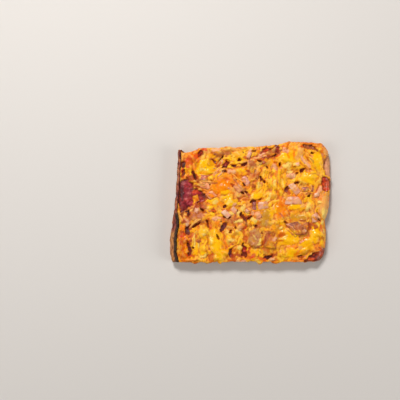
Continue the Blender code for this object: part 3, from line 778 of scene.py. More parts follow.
def hand_over(thing: bpy.types.Object, finish: Finish, slot: str, *nodes: str) -> bpy.types.Object:
    """Dresses a piece, lets it ride with the slice and hides the solids that it stands for."""
    material = bpy.data.materials.get(finish.name) or finish.build()
    thing.data.materials.append(material)
    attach(thing, "root")
    if nodes:
        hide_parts(*nodes)
    log.info("%s: %d faces, %s", thing.name, len(thing.data.polygons), finish.name)
    return thing


# ---- crust

# Where the dough lies bare on the rim
DOUGH_PATCH = Form(84.6, 39.0, 21.0, 15.0, 92.0)


def bare_dough(raster: Raster, softness: float, x: Array, y: Array) -> Array:
    """1 where the dough lies bare, 0 elsewhere, with an outline of the given softness."""
    return raster.read(raster.cover((DOUGH_PATCH,), softness), x, y)


@dataclass
class Crust:
    """The slab of bread: burnt wall on the left, rounded rim on the right, two cut faces."""

    raster: Raster
    rows: int = 130
    middle: int = 230
    ledge_columns: int = 8
    wall_columns: int = 14
    rim_columns: int = 14
    wall_top: float = 15.2
    wall_steps: tuple = (0.35, 1.0, 2.3, 3.2)
    lip_drop: float = 0.6
    inner_drop: float = 0.3
    outer_drop: float = 1.6
    outer_lip: float = 0.35
    wall_ripple: tuple = (9.0, 1.1)
    inner_ripple: tuple = (6.0, 0.4)
    wall_grain: float = 0.45
    wall_shake: float = 0.2
    ledge_top: float = 8.2
    ledge_rise: float = 1.6
    ledge_round: float = 0.6
    base_round: float = 1.5
    base_inset: float = 1.2
    side_rings: int = 26
    side_bulge: float = 0.5
    side_wave: float = 0.22
    bulge_top: float = 8.0
    cut_inset: float = 0.35
    pore_depths: tuple = (0.75, 0.3)
    pore_spacings: tuple = (1.9, 0.9)
    pore_fullness: tuple = (0.62, 0.6)
    pore_stretch: float = 1.25
    char_from: float = -8.0
    char_run: float = 5.0
    pale_from: float = -26.0
    pale_run: float = 8.0
    under_rings: tuple = (0.985, 0.95, 0.88, 0.75, 0.55, 0.3)
    under_waves: float = 0.12
    dough_swell: float = 1.6
    dough_grain: float = 0.6

    def plan(self) -> tuple:
        """x, y and z of the grid over the wall, the flat middle and the rim."""
        foot = self.ledge_columns + self.wall_columns
        x, y = PLAN.grid(PLAN.left, 0.0, (foot, self.middle, self.rim_columns), self.rows)
        side = y[:, :1]
        ledge = PLAN.ledge(side)
        bulge = ledge / PLAN.ledge_full_width
        out = np.linspace(0.0, 1.0, self.ledge_columns)
        inward = np.linspace(self.outer_lip, self.wall_steps[-1], self.wall_columns + 1)[1:]
        x[:, : self.ledge_columns] = PLAN.left(side) + (ledge + self.outer_lip) * out
        x[:, self.ledge_columns : foot] = PLAN.left(side) + ledge + inward
        z = PLAN.crust_surface(x, y)
        height = self.wall_top + PLAN.ripple(side, self.wall_ripple, 4)
        inner = height - self.inner_drop + PLAN.ripple(side, self.inner_ripple, 5)
        low = lerp(height - self.outer_drop, self.ledge_top, bulge)
        lip = lerp(height - self.lip_drop, self.ledge_top + self.ledge_rise, bulge)
        rounded = self.ledge_round * bulge * np.sin(np.pi * out)
        z[:, : self.ledge_columns] = lerp(low, lip, out) + rounded
        profile = np.concatenate([lip, height, inner, np.full_like(lip, PLAN.crust_top)], axis=1)
        place = np.interp(inward, self.wall_steps, np.arange(4.0))
        at = np.minimum(place.astype(int), 2)
        z[:, self.ledge_columns : foot] = lerp(profile[:, at], profile[:, at + 1], ease(place - at))
        return x, y, z

    def build(self) -> bpy.types.Object:
        """The crust in place of its solid."""
        x, y, z = self.plan()
        beside = ease((PLAN.inside_wall(y) - x + 0.6) / 0.6)
        ragged = self.wall_grain * noise(x, y / 2.6, 1.6, 50, 3)
        z += beside * ragged * ease((z - 5.0) / 3.0)
        shaken = self.wall_shake * noise(x, y, 3.4, 49, 2)
        x += beside * shaken * ease((x - PLAN.left(y)) / 0.5)
        patch = bare_dough(self.raster, 0.6, x, y)
        swell = self.dough_swell + self.dough_grain * noise(x, y, 3.0, 51, 3)
        z += patch * swell * np.sqrt(1.0 - PLAN.over_rim(x, y) ** 2)
        tone = with_wetness(self.top_colour(x, y, patch), 0.25 * patch)
        shell = Shell(np.stack([x, y, z], axis=2), tone)
        self.sides(shell)
        self.underside(shell)
        return hand_over(shell.build("baked_crust", (0.0, 0.0, 0.0)), CRUST_FINISH, "crust", "crust")

    def top_colour(self, x: Array, y: Array, patch: Array) -> Array:
        """Mauve burnt wall, a charred line along its near half, tan bread outside it."""
        inward = x - PLAN.left(y) - PLAN.ledge(y)
        on_wall = ease((inward + 0.6) / 0.5) * ease((PLAN.wall_thickness + 0.3 - inward) / 0.4)
        speckle = noise(x, y / 2.4, 1.9, 53, 3)
        mauve = tinge(Tone.MAUVE.rgb, Tone.BREAD, 0.6 * ease(1.6 * speckle))
        mauve = tinge(mauve, Tone.PLUM, 0.9 * ease((-speckle - 0.15) * 2.2))
        mauve = tinge(mauve, Tone.SOOT, 0.55 * ease((0.7 - inward) / 0.7))
        bread = tinge(Tone.BREAD.rgb, Tone.TOAST, ease(noise(x, y, 4.0, 52, 2)))
        colour = tinge(bread, mauve, on_wall)
        charred = on_wall * ease((self.char_from - y) / self.char_run) * ease((speckle + 1.2) * 1.5)
        colour = tinge(colour, Tone.CHAR, 0.95 * charred)
        ledge = ease(-inward / 0.5) * ease(PLAN.ledge(y) - 0.5)
        shade = tinge(Tone.MAUVE.rgb, Tone.BREAD, ease((self.pale_from - y) / self.pale_run))
        shade = tinge(shade, Tone.PLUM, 0.75 * ease((speckle - 0.15) * 2.5))
        colour = tinge(colour, shade, ledge)
        mottle = noise(x, y, 2.4, 54, 3) + 0.3
        toasted = noise(x, y, 4.0, 55, 2) - 0.1
        dough = tinge(Tone.BLUSH.rgb, Tone.BREAD, 0.7 * ease(mottle))
        dough = tinge(dough, Tone.TOAST, 0.25 * ease(toasted * 2.0))
        return tinge(colour, dough, patch)

    def sides(self, shell: Shell) -> None:
        """Rings down the four sides.

        A ring at level t has z = top * (1 - t). On the two baked sides it curves in near
        the table, and on the two cut sides crumb pores dent it and are painted darker, as painted shade.
        """
        ring, normal, tones = shell.edge()
        cut = ease((np.abs(normal[:, 1]) - 0.5) / 0.3)
        run = np.cumsum(np.linalg.norm(np.roll(ring, -1, axis=0)[:, :2] - ring[:, :2], axis=1))
        top = ring[:, 2]
        large, small = self.pore_depths
        spacings, fullness = self.pore_spacings, self.pore_fullness
        for t in np.linspace(0.0, 1.0, self.side_rings)[1:]:
            z = top * (1.0 - t)
            fall = np.clip(1.0 - z / self.base_round, 0, 1)
            inset = self.base_inset * (1.0 - np.sqrt(1.0 - fall**2)) * lerp(1.0, self.cut_inset, cut)
            inside = ease(np.minimum(z, (top - z) / 0.6))
            pores = large * pits(run, z * self.pore_stretch, spacings[0], 56, fullness[0])
            pores += small * pits(run, z, spacings[1], 57, fullness[1])
            wave = self.side_wave * noise(run, z, 5.0, 58, 3)
            bulge = self.side_bulge * np.sin(np.pi * np.clip(z / self.bulge_top, 0, 1)) * (1.0 - cut)
            shift = bulge + wave * (1.0 - fall) - inset - cut * inside * pores
            grain = noise(run, z, 3.0, 59, 3)
            crumb = tinge(Tone.CRUMB.rgb, Tone.TAN, ease(0.8 * grain + 0.2))
            # Painted shade: the crumb is darker inside the pores.
            crumb = tinge(crumb, Tone.BREAD, 0.8 * ease(pores))
            crumb = tinge(crumb, Tone.EMBER, 0.55 * ease((z - top + 1.3) / 1.3))
            baked = tinge(Tone.BREAD.rgb, Tone.BAKED, ease(grain + 0.5))
            baked = tinge(baked, tones[:, :3], ease((z - top + 2.5) / 2.5))
            colour = tinge(baked, crumb, cut)
            colour = tinge(colour, Tone.BAKED, ease((1.3 - z + 0.5 * grain) / 0.9))
            shell.add(shifted(ring, normal, shift, z), with_wetness(colour, 0.0))

    def underside(self, shell: Shell) -> None:
        """Rings that draw in under the slab, a little wavy."""
        place = shell.rings[-1][:, :2]
        for share in self.under_rings:
            x, y = (place * share).T
            waves = self.under_waves * (1.0 + noise(x, y, 4.0, 60, 2)).clip(0.0)
            z = waves * ease((1.0 - share) * 20.0)
            mottle = ease(noise(x, y, 8.0, 61, 3) + 0.4)
            colour = tinge(Tone.BAKED.rgb, Tone.BREAD, mottle)
            shell.add(np.stack([x, y, z], axis=1), with_wetness(colour, 0.0))


# ---- ham

# How each piece of ham looks, and how much of it cheese covers, from 0 to 2
HAM_LOOKS = (
    (Cure.ROSY, 0.1), (Cure.PALE, 0.2), (Cure.MAUVE, 0.1), (Cure.MAUVE, 0.0), (Cure.PALE, 0.1),
    (Cure.ROSY, 0.5), (Cure.PEACH, 0.6), (Cure.PEACH, 0.5), (Cure.EMBER, 0.8), (Cure.PEACH, 0.4),
    (Cure.EMBER, 0.8), (Cure.PALE, 0.3), (Cure.PALE, 0.4), (Cure.PALE, 0.4), (Cure.PALE, 0.4),
    (Cure.PEACH, 1.0), (Cure.MAUVE, 0.4), (Cure.PALE, 0.9), (Cure.PALE, 0.6), (Cure.PEACH, 0.7),
    (Cure.PALE, 0.8), (Cure.CREAMY, 1.1), (Cure.CREAMY, 1.2), (Cure.CREAMY, 1.2), (Cure.PALE, 0.6),
    (Cure.PEACH, 0.9), (Cure.PEACH, 0.9), (Cure.TOASTED, 1.4), (Cure.PEACH, 0.8), (Cure.EMBER, 0.9),
    (Cure.GREYED, 0.7), (Cure.TOASTED, 0.2), (Cure.SMOKY, 1.6), (Cure.EMBER, 1.9), (Cure.TOASTED, 0.8),
    (Cure.PALE, 0.6),
)

# Fat, lean and scorched places on the ham, and small fat spots that are painted glints, later ones on top
HAM_STAINS_AND_GLINTS = (
    (Tone.FAT, (
        (287, 201, 11, 12), (293, 187, 9, 6, -50), (244, 181, 9, 2.4, -50), (225, 212, 8, 5),
        # Painted highlights: the small fat spots at (257, 232), (252, 241), (304, 230) and (187, 223)
        # stand for glints.
        (209, 192, 5, 3, 60), (197, 210, 3, 4), (317, 194, 4, 5), (257, 232, 4, 2, -20), (252, 241, 3, 2),
        (259, 241, 4, 8), (304, 230, 5, 3, 30), (205, 179, 5, 1.6, -10), (187, 223, 5, 3, -40),
        (262, 203, 6, 3), (239, 186, 9, 2, -50),
    )),
    (Tone.ROSE, ((306, 189, 7, 3), (250, 184, 5, 3, -50), (272, 239, 5, 6), (202, 178, 6, 2))),
    (Tone.EMBER, ((211, 195, 4.4, 4), (267, 237, 15, 4, 80), (270, 233, 8, 3, 20))),
    (Tone.BLUSH, ((291, 226, 15, 1.8, -46), (297, 201, 7, 8), (233, 212, 6, 4))),
    (Tone.RUST, (
        (295, 229, 16, 1.6, -44), (305, 227, 7, 2, -60), (255, 238, 8, 1.6, 50), (250, 233, 5, 2, 80),
        (311, 190, 3, 6, 80), (254, 206, 2, 7, 85), (272, 244, 8, 2),
    )),
)


@dataclass
class HamPiece:
    """One cooked piece, worked out from its solid: outline, underside and arched top."""

    node: str
    look: Cure
    cover: float
    seed: int
    step: float = 0.7
    ragged: float = 0.12
    rim: float = 0.4
    rim_drop: float = 0.3
    fibre_height: float = 0.12
    side_rings: tuple = ((0.35, 1.01), (0.75, 1.0), (1.0, 0.96), (1.0, 0.5))
    middle: Array = field(init=False)
    arm: Array = field(init=False)
    turns: Array = field(init=False)
    reach: Array = field(init=False)
    base: float = field(init=False)
    arch: Array = field(init=False)
    axis: float = field(init=False)

    def __post_init__(self) -> None:
        """Reads the solid: the outline is the base's corners in order of their direction from
        its middle, and the top is the least-squares quadratic through the upper points."""
        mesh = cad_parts[self.node].data
        points = np.empty(len(mesh.vertices) * 3, np.float32)
        mesh.vertices.foreach_get("co", points)
        points = points.reshape(-1, 3).astype(float) / MM
        self.base = points[:, 2].min()
        corners = np.unique(np.round(points[points[:, 2] < self.base + 0.1], 3), axis=0)[:, :2]
        self.middle = 0.5 * (corners.min(axis=0) + corners.max(axis=0))
        arm = corners - self.middle
        arm = arm[np.argsort(np.arctan2(arm[:, 1], arm[:, 0]))]
        walk = []
        for start, end in zip(arm, np.roll(arm, -1, axis=0)):
            pieces = max(1, int(np.ceil(np.linalg.norm(end - start) / self.step)))
            walk.append(lerp(start, end, (np.arange(pieces) / pieces)[:, None]))
        arm = np.concatenate(walk)
        turns = np.arctan2(arm[:, 1], arm[:, 0])
        order = np.argsort(turns)
        self.arm, self.turns = arm[order], turns[order]
        self.reach = np.hypot(*self.arm.T)
        upper = points[points[:, 2] > self.base + 1.0]
        self.arch = np.linalg.lstsq(self.terms(*upper[:, :2].T), upper[:, 2], rcond=None)[0]
        self.axis = self.turns[np.argmax(self.reach)]

    @property
    def soft(self) -> float:
        """How softly the cheese runs up to the piece, from 0 to 1."""
        return float(ease((self.cover - 0.6) / 0.6))

    def terms(self, x: Array, y: Array) -> Array:
        """1, x, y, x^2, xy and y^2 about the piece's middle."""
        dx, dy = x - self.middle[0], y - self.middle[1]
        return np.stack([np.ones_like(dx), dx, dy, dx * dx, dx * dy, dy * dy], axis=-1)

    def top(self, x: Array, y: Array) -> Array:
        """Height of the piece's top."""
        return self.terms(x, y) @ self.arch

    def inside(self, x: Array, y: Array) -> Array:
        """How far in from the outline a place is, in millimetres along its direction."""
        dx, dy = x - self.middle[0], y - self.middle[1]
        edge = np.interp(np.arctan2(dy, dx), self.turns, self.reach, period=2 * np.pi)
        return edge - np.hypot(dx, dy)

    def colour(self, x: Array, y: Array, inside: Array) -> Array:
        """Face colour with fibres and pale fat along the piece, browned close to its edge."""
        along = x * np.cos(self.axis) + y * np.sin(self.axis)
        across = y * np.cos(self.axis) - x * np.sin(self.axis)
        fibres = noise(along / 4.0, across, 1.3, self.seed, 2)
        bands = noise(along, across / 3.0, 3.0, self.seed + 1, 2)
        cloud = noise(x, y, 3.0, self.seed + 7, 3)
        face, edge = self.look.face, self.look.edge
        colour = face * (1.0 + 0.1 * fibres + 0.1 * bands)[..., None]
        colour = tinge(colour, face**0.78, 0.6 * ease(1.6 * bands))
        colour = tinge(colour, edge, 0.55 * ease(1.8 * cloud - 0.2))
        browned = ease((0.6 - inside + 0.7 * cloud) / 0.6)
        return tinge(colour, edge, 0.6 * browned).clip(0.0, 1.0)

    def build(self, cheese: "Cheese") -> bpy.types.Object:
        """The piece in place of its solid: a slab with crisp corners, a worn rim and fibres."""
        uneven = self.ragged * noise(*self.arm.T, 1.6, self.seed + 3, 2)
        outline = self.arm * (1.0 + uneven / self.reach)[:, None]
        reach = np.linalg.norm(outline, axis=1)
        centre = np.array([*self.middle, self.top(*self.middle)])
        tone = self.colour(centre[:1], centre[1:2], np.array([self.reach.min()]))
        shell = Shell(centre, with_wetness(tone, 0.5))
        count = max(4, int(self.reach.max() / self.step))
        inner = (1.0 - self.rim / reach)[:, None]
        for share in (*np.linspace(0.0, 1.0, count + 1)[1:], None):
            place = self.middle + outline * (1.0 if share is None else inner * share)
            x, y = place.T
            fibres = noise((x + y) / 2.0, y - x, 1.4, self.seed + 5, 2)
            z = self.top(x, y) + self.fibre_height * fibres - (self.rim_drop if share is None else 0.0)
            colour = cheese.over_ham(self, x, y, self.colour(x, y, self.inside(x, y)))
            shell.add(np.stack([x, y, z], axis=1), with_wetness(colour, 0.5))
        rim = shell.rings[-1]
        for level, grow in self.side_rings:
            x, y = (self.middle + outline * grow).T
            z = rim[:, 2] - level * (rim[:, 2] - self.base)
            colour = self.colour(x, y, np.zeros_like(x)) * 0.9
            shell.add(np.stack([x, y, z], axis=1), with_wetness(colour, 0.3))
        foot = (*self.middle, self.base)
        return hand_over(shell.build(f"cooked_{self.node}", foot), HAM_FINISH, "ham", self.node)


# ---- sauce

# Gaps in the cheese where the sauce shows, as in the solid
OPENINGS = tuple(Form(*row) for row in (
    (-68.6, 8.4, 35, 18.6, 92), (-56, 7.6, 19, 12.5, -35), (-70.5, 40, 6.5, 5, 90),
    (-59, 29.6, 9.4, 3.2, 112), (-65, -12.2, 5.5, 3.6, 95), (-66.4, -29.6, 9, 5.2, 95),
    (-64.6, -48.2, 15.6, 3.6, 97), (-25.7, 40.6, 8.4, 5.4, 60), (-17.3, 39.4, 6.2, 2.6, -12),
    (-11.6, 45.4, 3.4, 3.2), (-6.6, 40.2, 5.8, 2.8, 10), (13.4, 24, 8.6, 2.3, -50),
    (38.3, 14.2, 6, 4.6, 50), (55.4, 34.6, 5.4, 2.8, 28), (-27.8, -4, 3, 2.2), (-7.4, -15.6, 11, 2.8, -55),
    (-28.6, -25.9, 11.6, 5.6, 55), (5.2, -24, 3.6, 3.4), (79.5, 19.8, 16.5, 10, 100),
    (72, -60, 38, 18, 28), (-20.6, -52.4, 7.8, 4.4, 95), (-6.4, -50.8, 13.6, 5.8, 97),
    (19.4, -57, 9.6, 4.4, 30), (17.2, 56.6, 8, 3.4, 12), (28.6, 56.8, 9, 3.2, 105),
    (61.6, 59.2, 11, 3.8, -12), (-52.2, 52.2, 5, 3.6, 50),
))

# Deep red, brick red and scorched places on the sauce, and rose spots that are painted highlights, later
# ones on top
SAUCE_SPOTS = (
    (Tone.TOAST, ((309, 148, 14, 6, -12),)),
    (Tone.WINE, ((186, 190, 13, 24), (184, 202, 14, 18, 90), (181, 187, 6, 10, 90))),
    (Tone.CRIMSON, (
        (190, 185, 6, 12, 85), (190, 201, 6, 15, 90), (197, 193, 9, 7), (199, 200, 14, 6, -20),
        (187, 238, 5, 5),
    )),
    (Tone.PLUM, (
        (182, 192, 4, 16), (204, 194, 7, 8), (181, 213, 4, 6, 90), (188, 213, 4, 6, 90),
        (188, 231, 5, 10, 90), (188, 249, 4, 17, 95), (180, 190, 4, 8, 90), (268, 258, 8, 5, 30),
        (273, 253, 6, 5, 50), (315, 256, 5, 3, 20), (222, 229, 6, 9, 60), (231, 253, 6, 7, 90),
    )),
    # Painted highlights: the rose spots stand for glints on the wet sauce.
    (Tone.ROSE, (
        (186, 199, 2.5, 3), (190, 194, 2, 4, 60), (183, 184, 4, 2), (232, 256, 4, 3), (226, 224, 5, 3, 20),
    )),
    (Tone.SOOT, ((182.5, 165, 4, 10, 90), (183, 173, 4, 5, 90), (194, 176, 3, 11, -65), (225, 167, 5, 4))),
    (Tone.EMBER, ((326, 184, 15, 9, 95), (323, 253, 12, 14, 95), (309, 259, 16, 4, 8), (195, 191, 5, 5))),
    (Tone.BRICK, (
        (325, 179, 10, 6, 20), (330, 187, 3, 9), (224, 163, 6, 6, 60), (266, 150, 11, 5, 10),
        (277, 150, 5, 10, 100), (305, 255, 10, 5, 20), (244, 249, 6, 12, 95), (201, 153, 8, 9, 60),
    )),
    (Tone.EMBER, (
        (327, 187, 8, 10, 90), (322, 251, 5, 10, 100), (203, 151, 4, 4), (266, 149, 6, 3),
        (309, 258.5, 16, 3, 6), (321, 256, 4, 6, 90), (248, 251, 4, 6, 60), (261, 259, 7, 5),
        (206, 150, 3, 3),
    )),
)


@dataclass
class Sauce:
    """The tomato sauce, a thin layer from the wall to the rim and from cut to cut."""

    raster: Raster
    rows: int = 150
    middle: int = 190
    rim_columns: int = 12
    base: float = 0.3
    depth: float = 1.3
    waves: float = 0.25
    edge_share: float = 0.45
    lumps: float = 0.3
    lump_spacing: float = 3.4
    grain: float = 0.16
    overhang: float = -0.15
    under_dough: float = 0.9
    side_rings: tuple = ((0.25, 0.35), (0.3, 0.7), (0.0, 1.0), (-2.0, 1.0))
    under_rings: tuple = (0.95, 0.85, 0.7, 0.4)
    sunk: float = 0.6

    def height(self, x: Array, y: Array) -> Array:
        """Height above the crust: crossing waves, round pulp lumps and fine grain."""
        low = np.sin(x / 2.3 + 1.7 * np.sin(y / 4.1)) * np.sin(y / 2.9 + 1.3 * np.sin(x / 5.3))
        lumps = self.lumps * pits(x, y, self.lump_spacing, 70, 0.75)
        grain = self.grain * noise(x, y, 1.6, 71, 2)
        fade = lerp(self.edge_share, 1.0, PLAN.side_fade(x, y))
        return self.base + (self.depth + self.waves * low + lumps + grain) * fade

    def build(self) -> bpy.types.Object:
        """The sauce in place of its solid."""
        raster = self.raster
        x, y = PLAN.grid(PLAN.inside_wall, self.overhang, (1, self.middle, self.rim_columns), self.rows)
        dough = bare_dough(raster, 0.3, x, y)
        z = PLAN.above_crust(x, y) + lerp(self.height(x, y), -self.under_dough, dough)
        colour = raster.paint(lerp(Tone.RUST.rgb, Tone.SOOT.rgb, 0.25), SAUCE_SPOTS, 0.9)
        speckle = raster.grain(1.8, 72, 3)
        colour = tinge(colour, colour * 0.45, ease((-speckle - 0.25) * 2.0))
        colour = tinge(colour, colour * 1.3 + 0.03, ease((speckle - 0.4) * 2.5))
        wet = 0.6 + 0.5 * noise(x, y, 7.0, 73)
        shell = Shell(np.stack([x, y, z], axis=2), with_wetness(raster.read(colour, x, y), wet))
        ring, normal, tones = shell.edge()
        floor = np.minimum(PLAN.above_crust(*ring[:, :2].T) - self.sunk, ring[:, 2] - 0.2)
        for out, down in self.side_rings:
            points = shifted(ring, normal, out, lerp(ring[:, 2], floor, down))
            shell.add(points, with_wetness(tones[:, :3] * 0.8, 0.6))
        shell.draw_in(self.under_rings, -self.sunk, with_wetness(tones[:, :3], 0.6))
        foot = (0.0, 0.0, PLAN.crust_top - self.sunk)
        return hand_over(shell.build("baked_sauce", foot), SAUCE_FINISH, "sauce", "sauce")


# ---- cheese

# The larger lumps, as in the solid
FORMS = tuple(Form(*row) for row in (
    (-36, -44, 31, 15, 105, 2.6), (-14, -38, 13, 12, 0, 2), (-50, -31, 14, 13, 40, 2.6),
    (48, -47, 30, 15, 25, 2.2), (66, -38, 26, 13, 55, 2.3), (76, -4, 30, 13, 85, 1.7),
    (15, -18, 15, 13, 60, 2.4), (36, 45, 22, 17, 20, 2.6), (68, 45, 20, 12, -65, 2.8),
    (61, 27, 18, 12, 15, 2.4), (-46, 38, 24, 16, -55, 2.5), (-28, 14, 22, 15, 10, 2.2),
    (-22, 0, 13, 12, 0, 2.3), (28, 26, 26, 8, 80, 2.4), (53, -22, 24, 17, 0, 3.4), (5, -36, 22, 14, 90, 3),
    (20, -39, 20, 14, 90, 2.8), (-57, -17, 16, 13, 30, 1.8), (-15, 32, 20, 12, 0, 1.9),
    (-70, -42, 34, 7, 88, 1.5),
))

# Thin dark gaps between melted shreds
CRACKS = (
    (221, 159, 8, 1.8, 55), (214.5, 161.5, 4.4, 1.5, -40), (208, 185, 4, 1.6, 15),
    (244, 184.5, 4.5, 1.8, -50), (267, 167, 3.4, 1.8, -40), (275, 155, 4.4, 2.2, 20), (280, 165, 1.6, 4),
    (297.3, 173.6, 3.6, 2.4, 10), (297, 182.5, 5, 1.9, 15), (309, 196, 2.4, 2.4), (201.5, 209, 9, 3, -65),
    (225, 172, 4, 1.6, 20), (253, 202, 5, 3.4, 20), (316.5, 214, 5.4, 1.4, 80), (318.2, 219, 4, 1.4, -55),
    (242, 215, 5, 1.8, 15), (244.5, 218.5, 9, 2, -65), (250, 218, 5.4, 3.2, 40), (225, 216, 2.4, 1.8),
    (213.5, 212, 3.6, 1.6), (208.5, 224, 5.6, 1.8, -70), (217.5, 236.5, 5, 1.6, -55), (231, 232, 2.4, 3.4),
    (235.5, 228, 2.4, 2.4), (193.5, 248, 2.2, 2.4), (229, 217.5, 3, 1.6), (260, 161, 5, 1.8, -10),
    (254, 150.5, 3, 1.6, 30), (270.5, 149, 5, 2, 20), (312, 153, 2.4, 1.4), (196, 225, 7, 2.4, 38),
    (205, 184, 5, 1.2), (289, 225, 9, 1.2, -42), (260, 199.5, 3, 1.4, 30), (237, 211, 1.6, 3),
    (248.5, 211, 2, 2.4), (300.5, 256, 4, 1.6, 20), (245.5, 193, 4, 1.6, 30), (183, 172.5, 7, 2.6, 80),
    (182.5, 213, 7, 3, 80), (241, 192, 3, 1.6, -30),
)

# Cheese that bridges an opening
BRIDGES = (
    (195.5, 199.5, 9, 5.4, 85), (194.5, 205, 12, 4.4, 80), (190, 208, 12, 3, 32), (184, 211, 6, 2, 40),
    (184, 229, 14, 3, 80), (186, 236, 8, 3.6),
)

# Thin cheese drawn over ham
VEILS = (
    (296, 217, 17, 9, -10), (271, 246, 9, 8, 20), (274, 231, 8, 5), (258, 232, 6, 4),
    (300, 152, 6, 11, 85), (291, 175, 5, 4), (256, 246, 6, 5), (300, 220.5, 17, 4.5, -4), (308, 228, 4, 7),
    (251, 238, 4, 14),
)

# Smooth pools, where no shreds show
CALM = (
    (217, 245, 13, 32, 12), (264, 218, 18, 17), (324, 207, 12, 26), (289, 239, 21, 15, 20),
    (305, 245, 15, 14, 35), (206, 167, 22, 15, 25), (225, 187, 24, 14, -5), (292, 253, 8, 10, 90),
    (315, 234, 13, 9, 20), (297, 206, 17, 6), (318, 160, 10, 18, 15), (290, 157, 18, 12, 10),
    (308, 178, 16, 9), (229, 203, 12, 11), (184, 247, 8, 26), (257, 196, 14, 7), (298, 217, 14, 6),
    (281, 226, 12, 14), (281, 208, 18, 15, 60), (183, 246, 9, 28),
)

# Direction of the shreds around a place: pixel column and row, radius in pixels, degrees
COMBS = (
    (275, 178, 16, 88), (310, 163, 15, -60), (222, 166, 12, 35), (215, 243, 20, 102), (238, 156, 14, 10),
    (190, 217, 16, -35),
)

# Small wet beads that catch the light
BEADS = (
    (281.5, 228.5, 4, 3, 60), (200, 230, 3, 3), (205.5, 230, 3, 3), (306, 229.5, 4, 2.6, 30),
    (320.5, 202.5, 5, 2.4), (308, 177, 3.4, 3), (312, 242, 4, 3.4), (302.5, 250, 3, 2.6),
    (321, 234.5, 3, 2.6), (276.5, 239, 3.4, 2.4, -30), (271.5, 207, 3, 2.4), (301, 226, 2, 2),
    (284.5, 253, 2.6, 3.4, 90), (187, 223, 6, 3, -40), (204, 178.5, 6, 2.4), (216.5, 217, 5, 2.6),
    (289.5, 248, 2.4, 3), (197, 210.5, 2.6, 3.6), (252, 237, 4, 2.6, 10), (257, 233, 2.4, 2.4),
)

# Broad areas of one tone, from which each shred takes its colour, later ones on top
AREAS = (
    (Tone.ORANGE, (
        (226, 187, 30, 17, -8), (241, 171, 21, 9), (281, 212, 25, 15, 82), (192, 156, 17, 10, 35),
        (183, 244, 32, 9, 92), (258, 159, 17, 6, 15), (276, 178, 26, 5, 88), (285, 145, 10, 6),
        (249, 257, 13, 8), (185, 257, 12, 7, -10), (213, 206, 10, 7), (256, 150, 12, 4, 5),
        (302, 194, 12, 6), (216, 224, 9, 8, 40), (188, 177, 10, 5),
    )),
    (Tone.TAN, (
        (325, 207, 27, 12, 90), (198, 215, 25, 15, -30), (229, 149, 34, 5, 3), (206, 153, 10, 7, 30),
        (236, 190, 20, 8, -60), (251, 200, 9, 12), (184, 219, 14, 9, -40), (203, 182, 18, 9, -5),
    )),
    (Tone.OLIVE, (
        (265, 220, 23, 13, 80), (269, 249, 19, 11, 30), (256, 239, 12, 22), (300, 218, 22, 8, -5),
        (275, 229, 10, 12),
    )),
    (Tone.TOAST, (
        (217, 156, 15, 8, 20), (228, 153, 12, 6), (252, 164, 12, 9, -40), (254, 176, 15, 8, -60),
        (231, 220, 24, 9, -8), (266, 240, 21, 8, 82), (264, 162, 12, 6, -15), (247, 193, 10, 8, -50),
        (201, 221, 15, 7, -10), (268, 153, 24, 5, 17), (244, 225, 16, 5, 85), (190, 213, 18, 8, -38),
        (186, 221, 9, 4, -45), (204, 208, 8, 6, -50), (213, 255, 9, 5, 75), (199, 214, 14, 12, -40),
        (256, 228, 7, 5, 40),
    )),
    (Tone.YELLOW, (
        (206, 167, 23, 16, 25), (238, 158, 19, 14), (188, 169, 11, 7, 40), (284, 157, 15, 14),
        (294, 157, 18, 24), (300, 165, 34, 10), (317, 160, 13, 21, 10), (306, 178, 24, 14),
        (255, 196, 16, 9), (283, 180, 22, 8, 88), (264, 175, 15, 6, 82), (270, 181, 16, 4, 86),
        (259, 191, 9, 15), (270, 196, 12, 9, 30), (214, 202, 14, 7, 5), (229, 202, 13, 11),
        (210, 213, 14, 7), (241, 208, 9, 10), (203, 230, 12, 9, 80), (216, 244, 38, 13, 102),
        (202, 251, 14, 10, 80), (236, 237, 16, 13), (238, 248, 9, 6), (289, 239, 23, 14, 20),
        (289, 253, 23, 10, 5), (306, 245, 22, 14, 40), (315, 232, 15, 11, 30), (297, 207, 18, 8),
        (310, 201, 13, 8, -60), (196, 247, 20, 7, 88), (258, 251, 10, 7, -30), (195, 259, 12, 5),
        # Painted light: the yellow areas at column 323 lie on the rim's steep slope and are lighter than
        # the cheese there, to offset its shade.
        (252, 222, 10, 9, 60), (272, 211, 14, 8, 60), (221, 255, 13, 11), (323, 236, 18, 9, 95),
        (316, 181, 11, 11), (323, 241, 12, 8, 95), (282, 163, 9, 9), (274, 185, 7, 12), (281, 220, 9, 7),
    )),
)
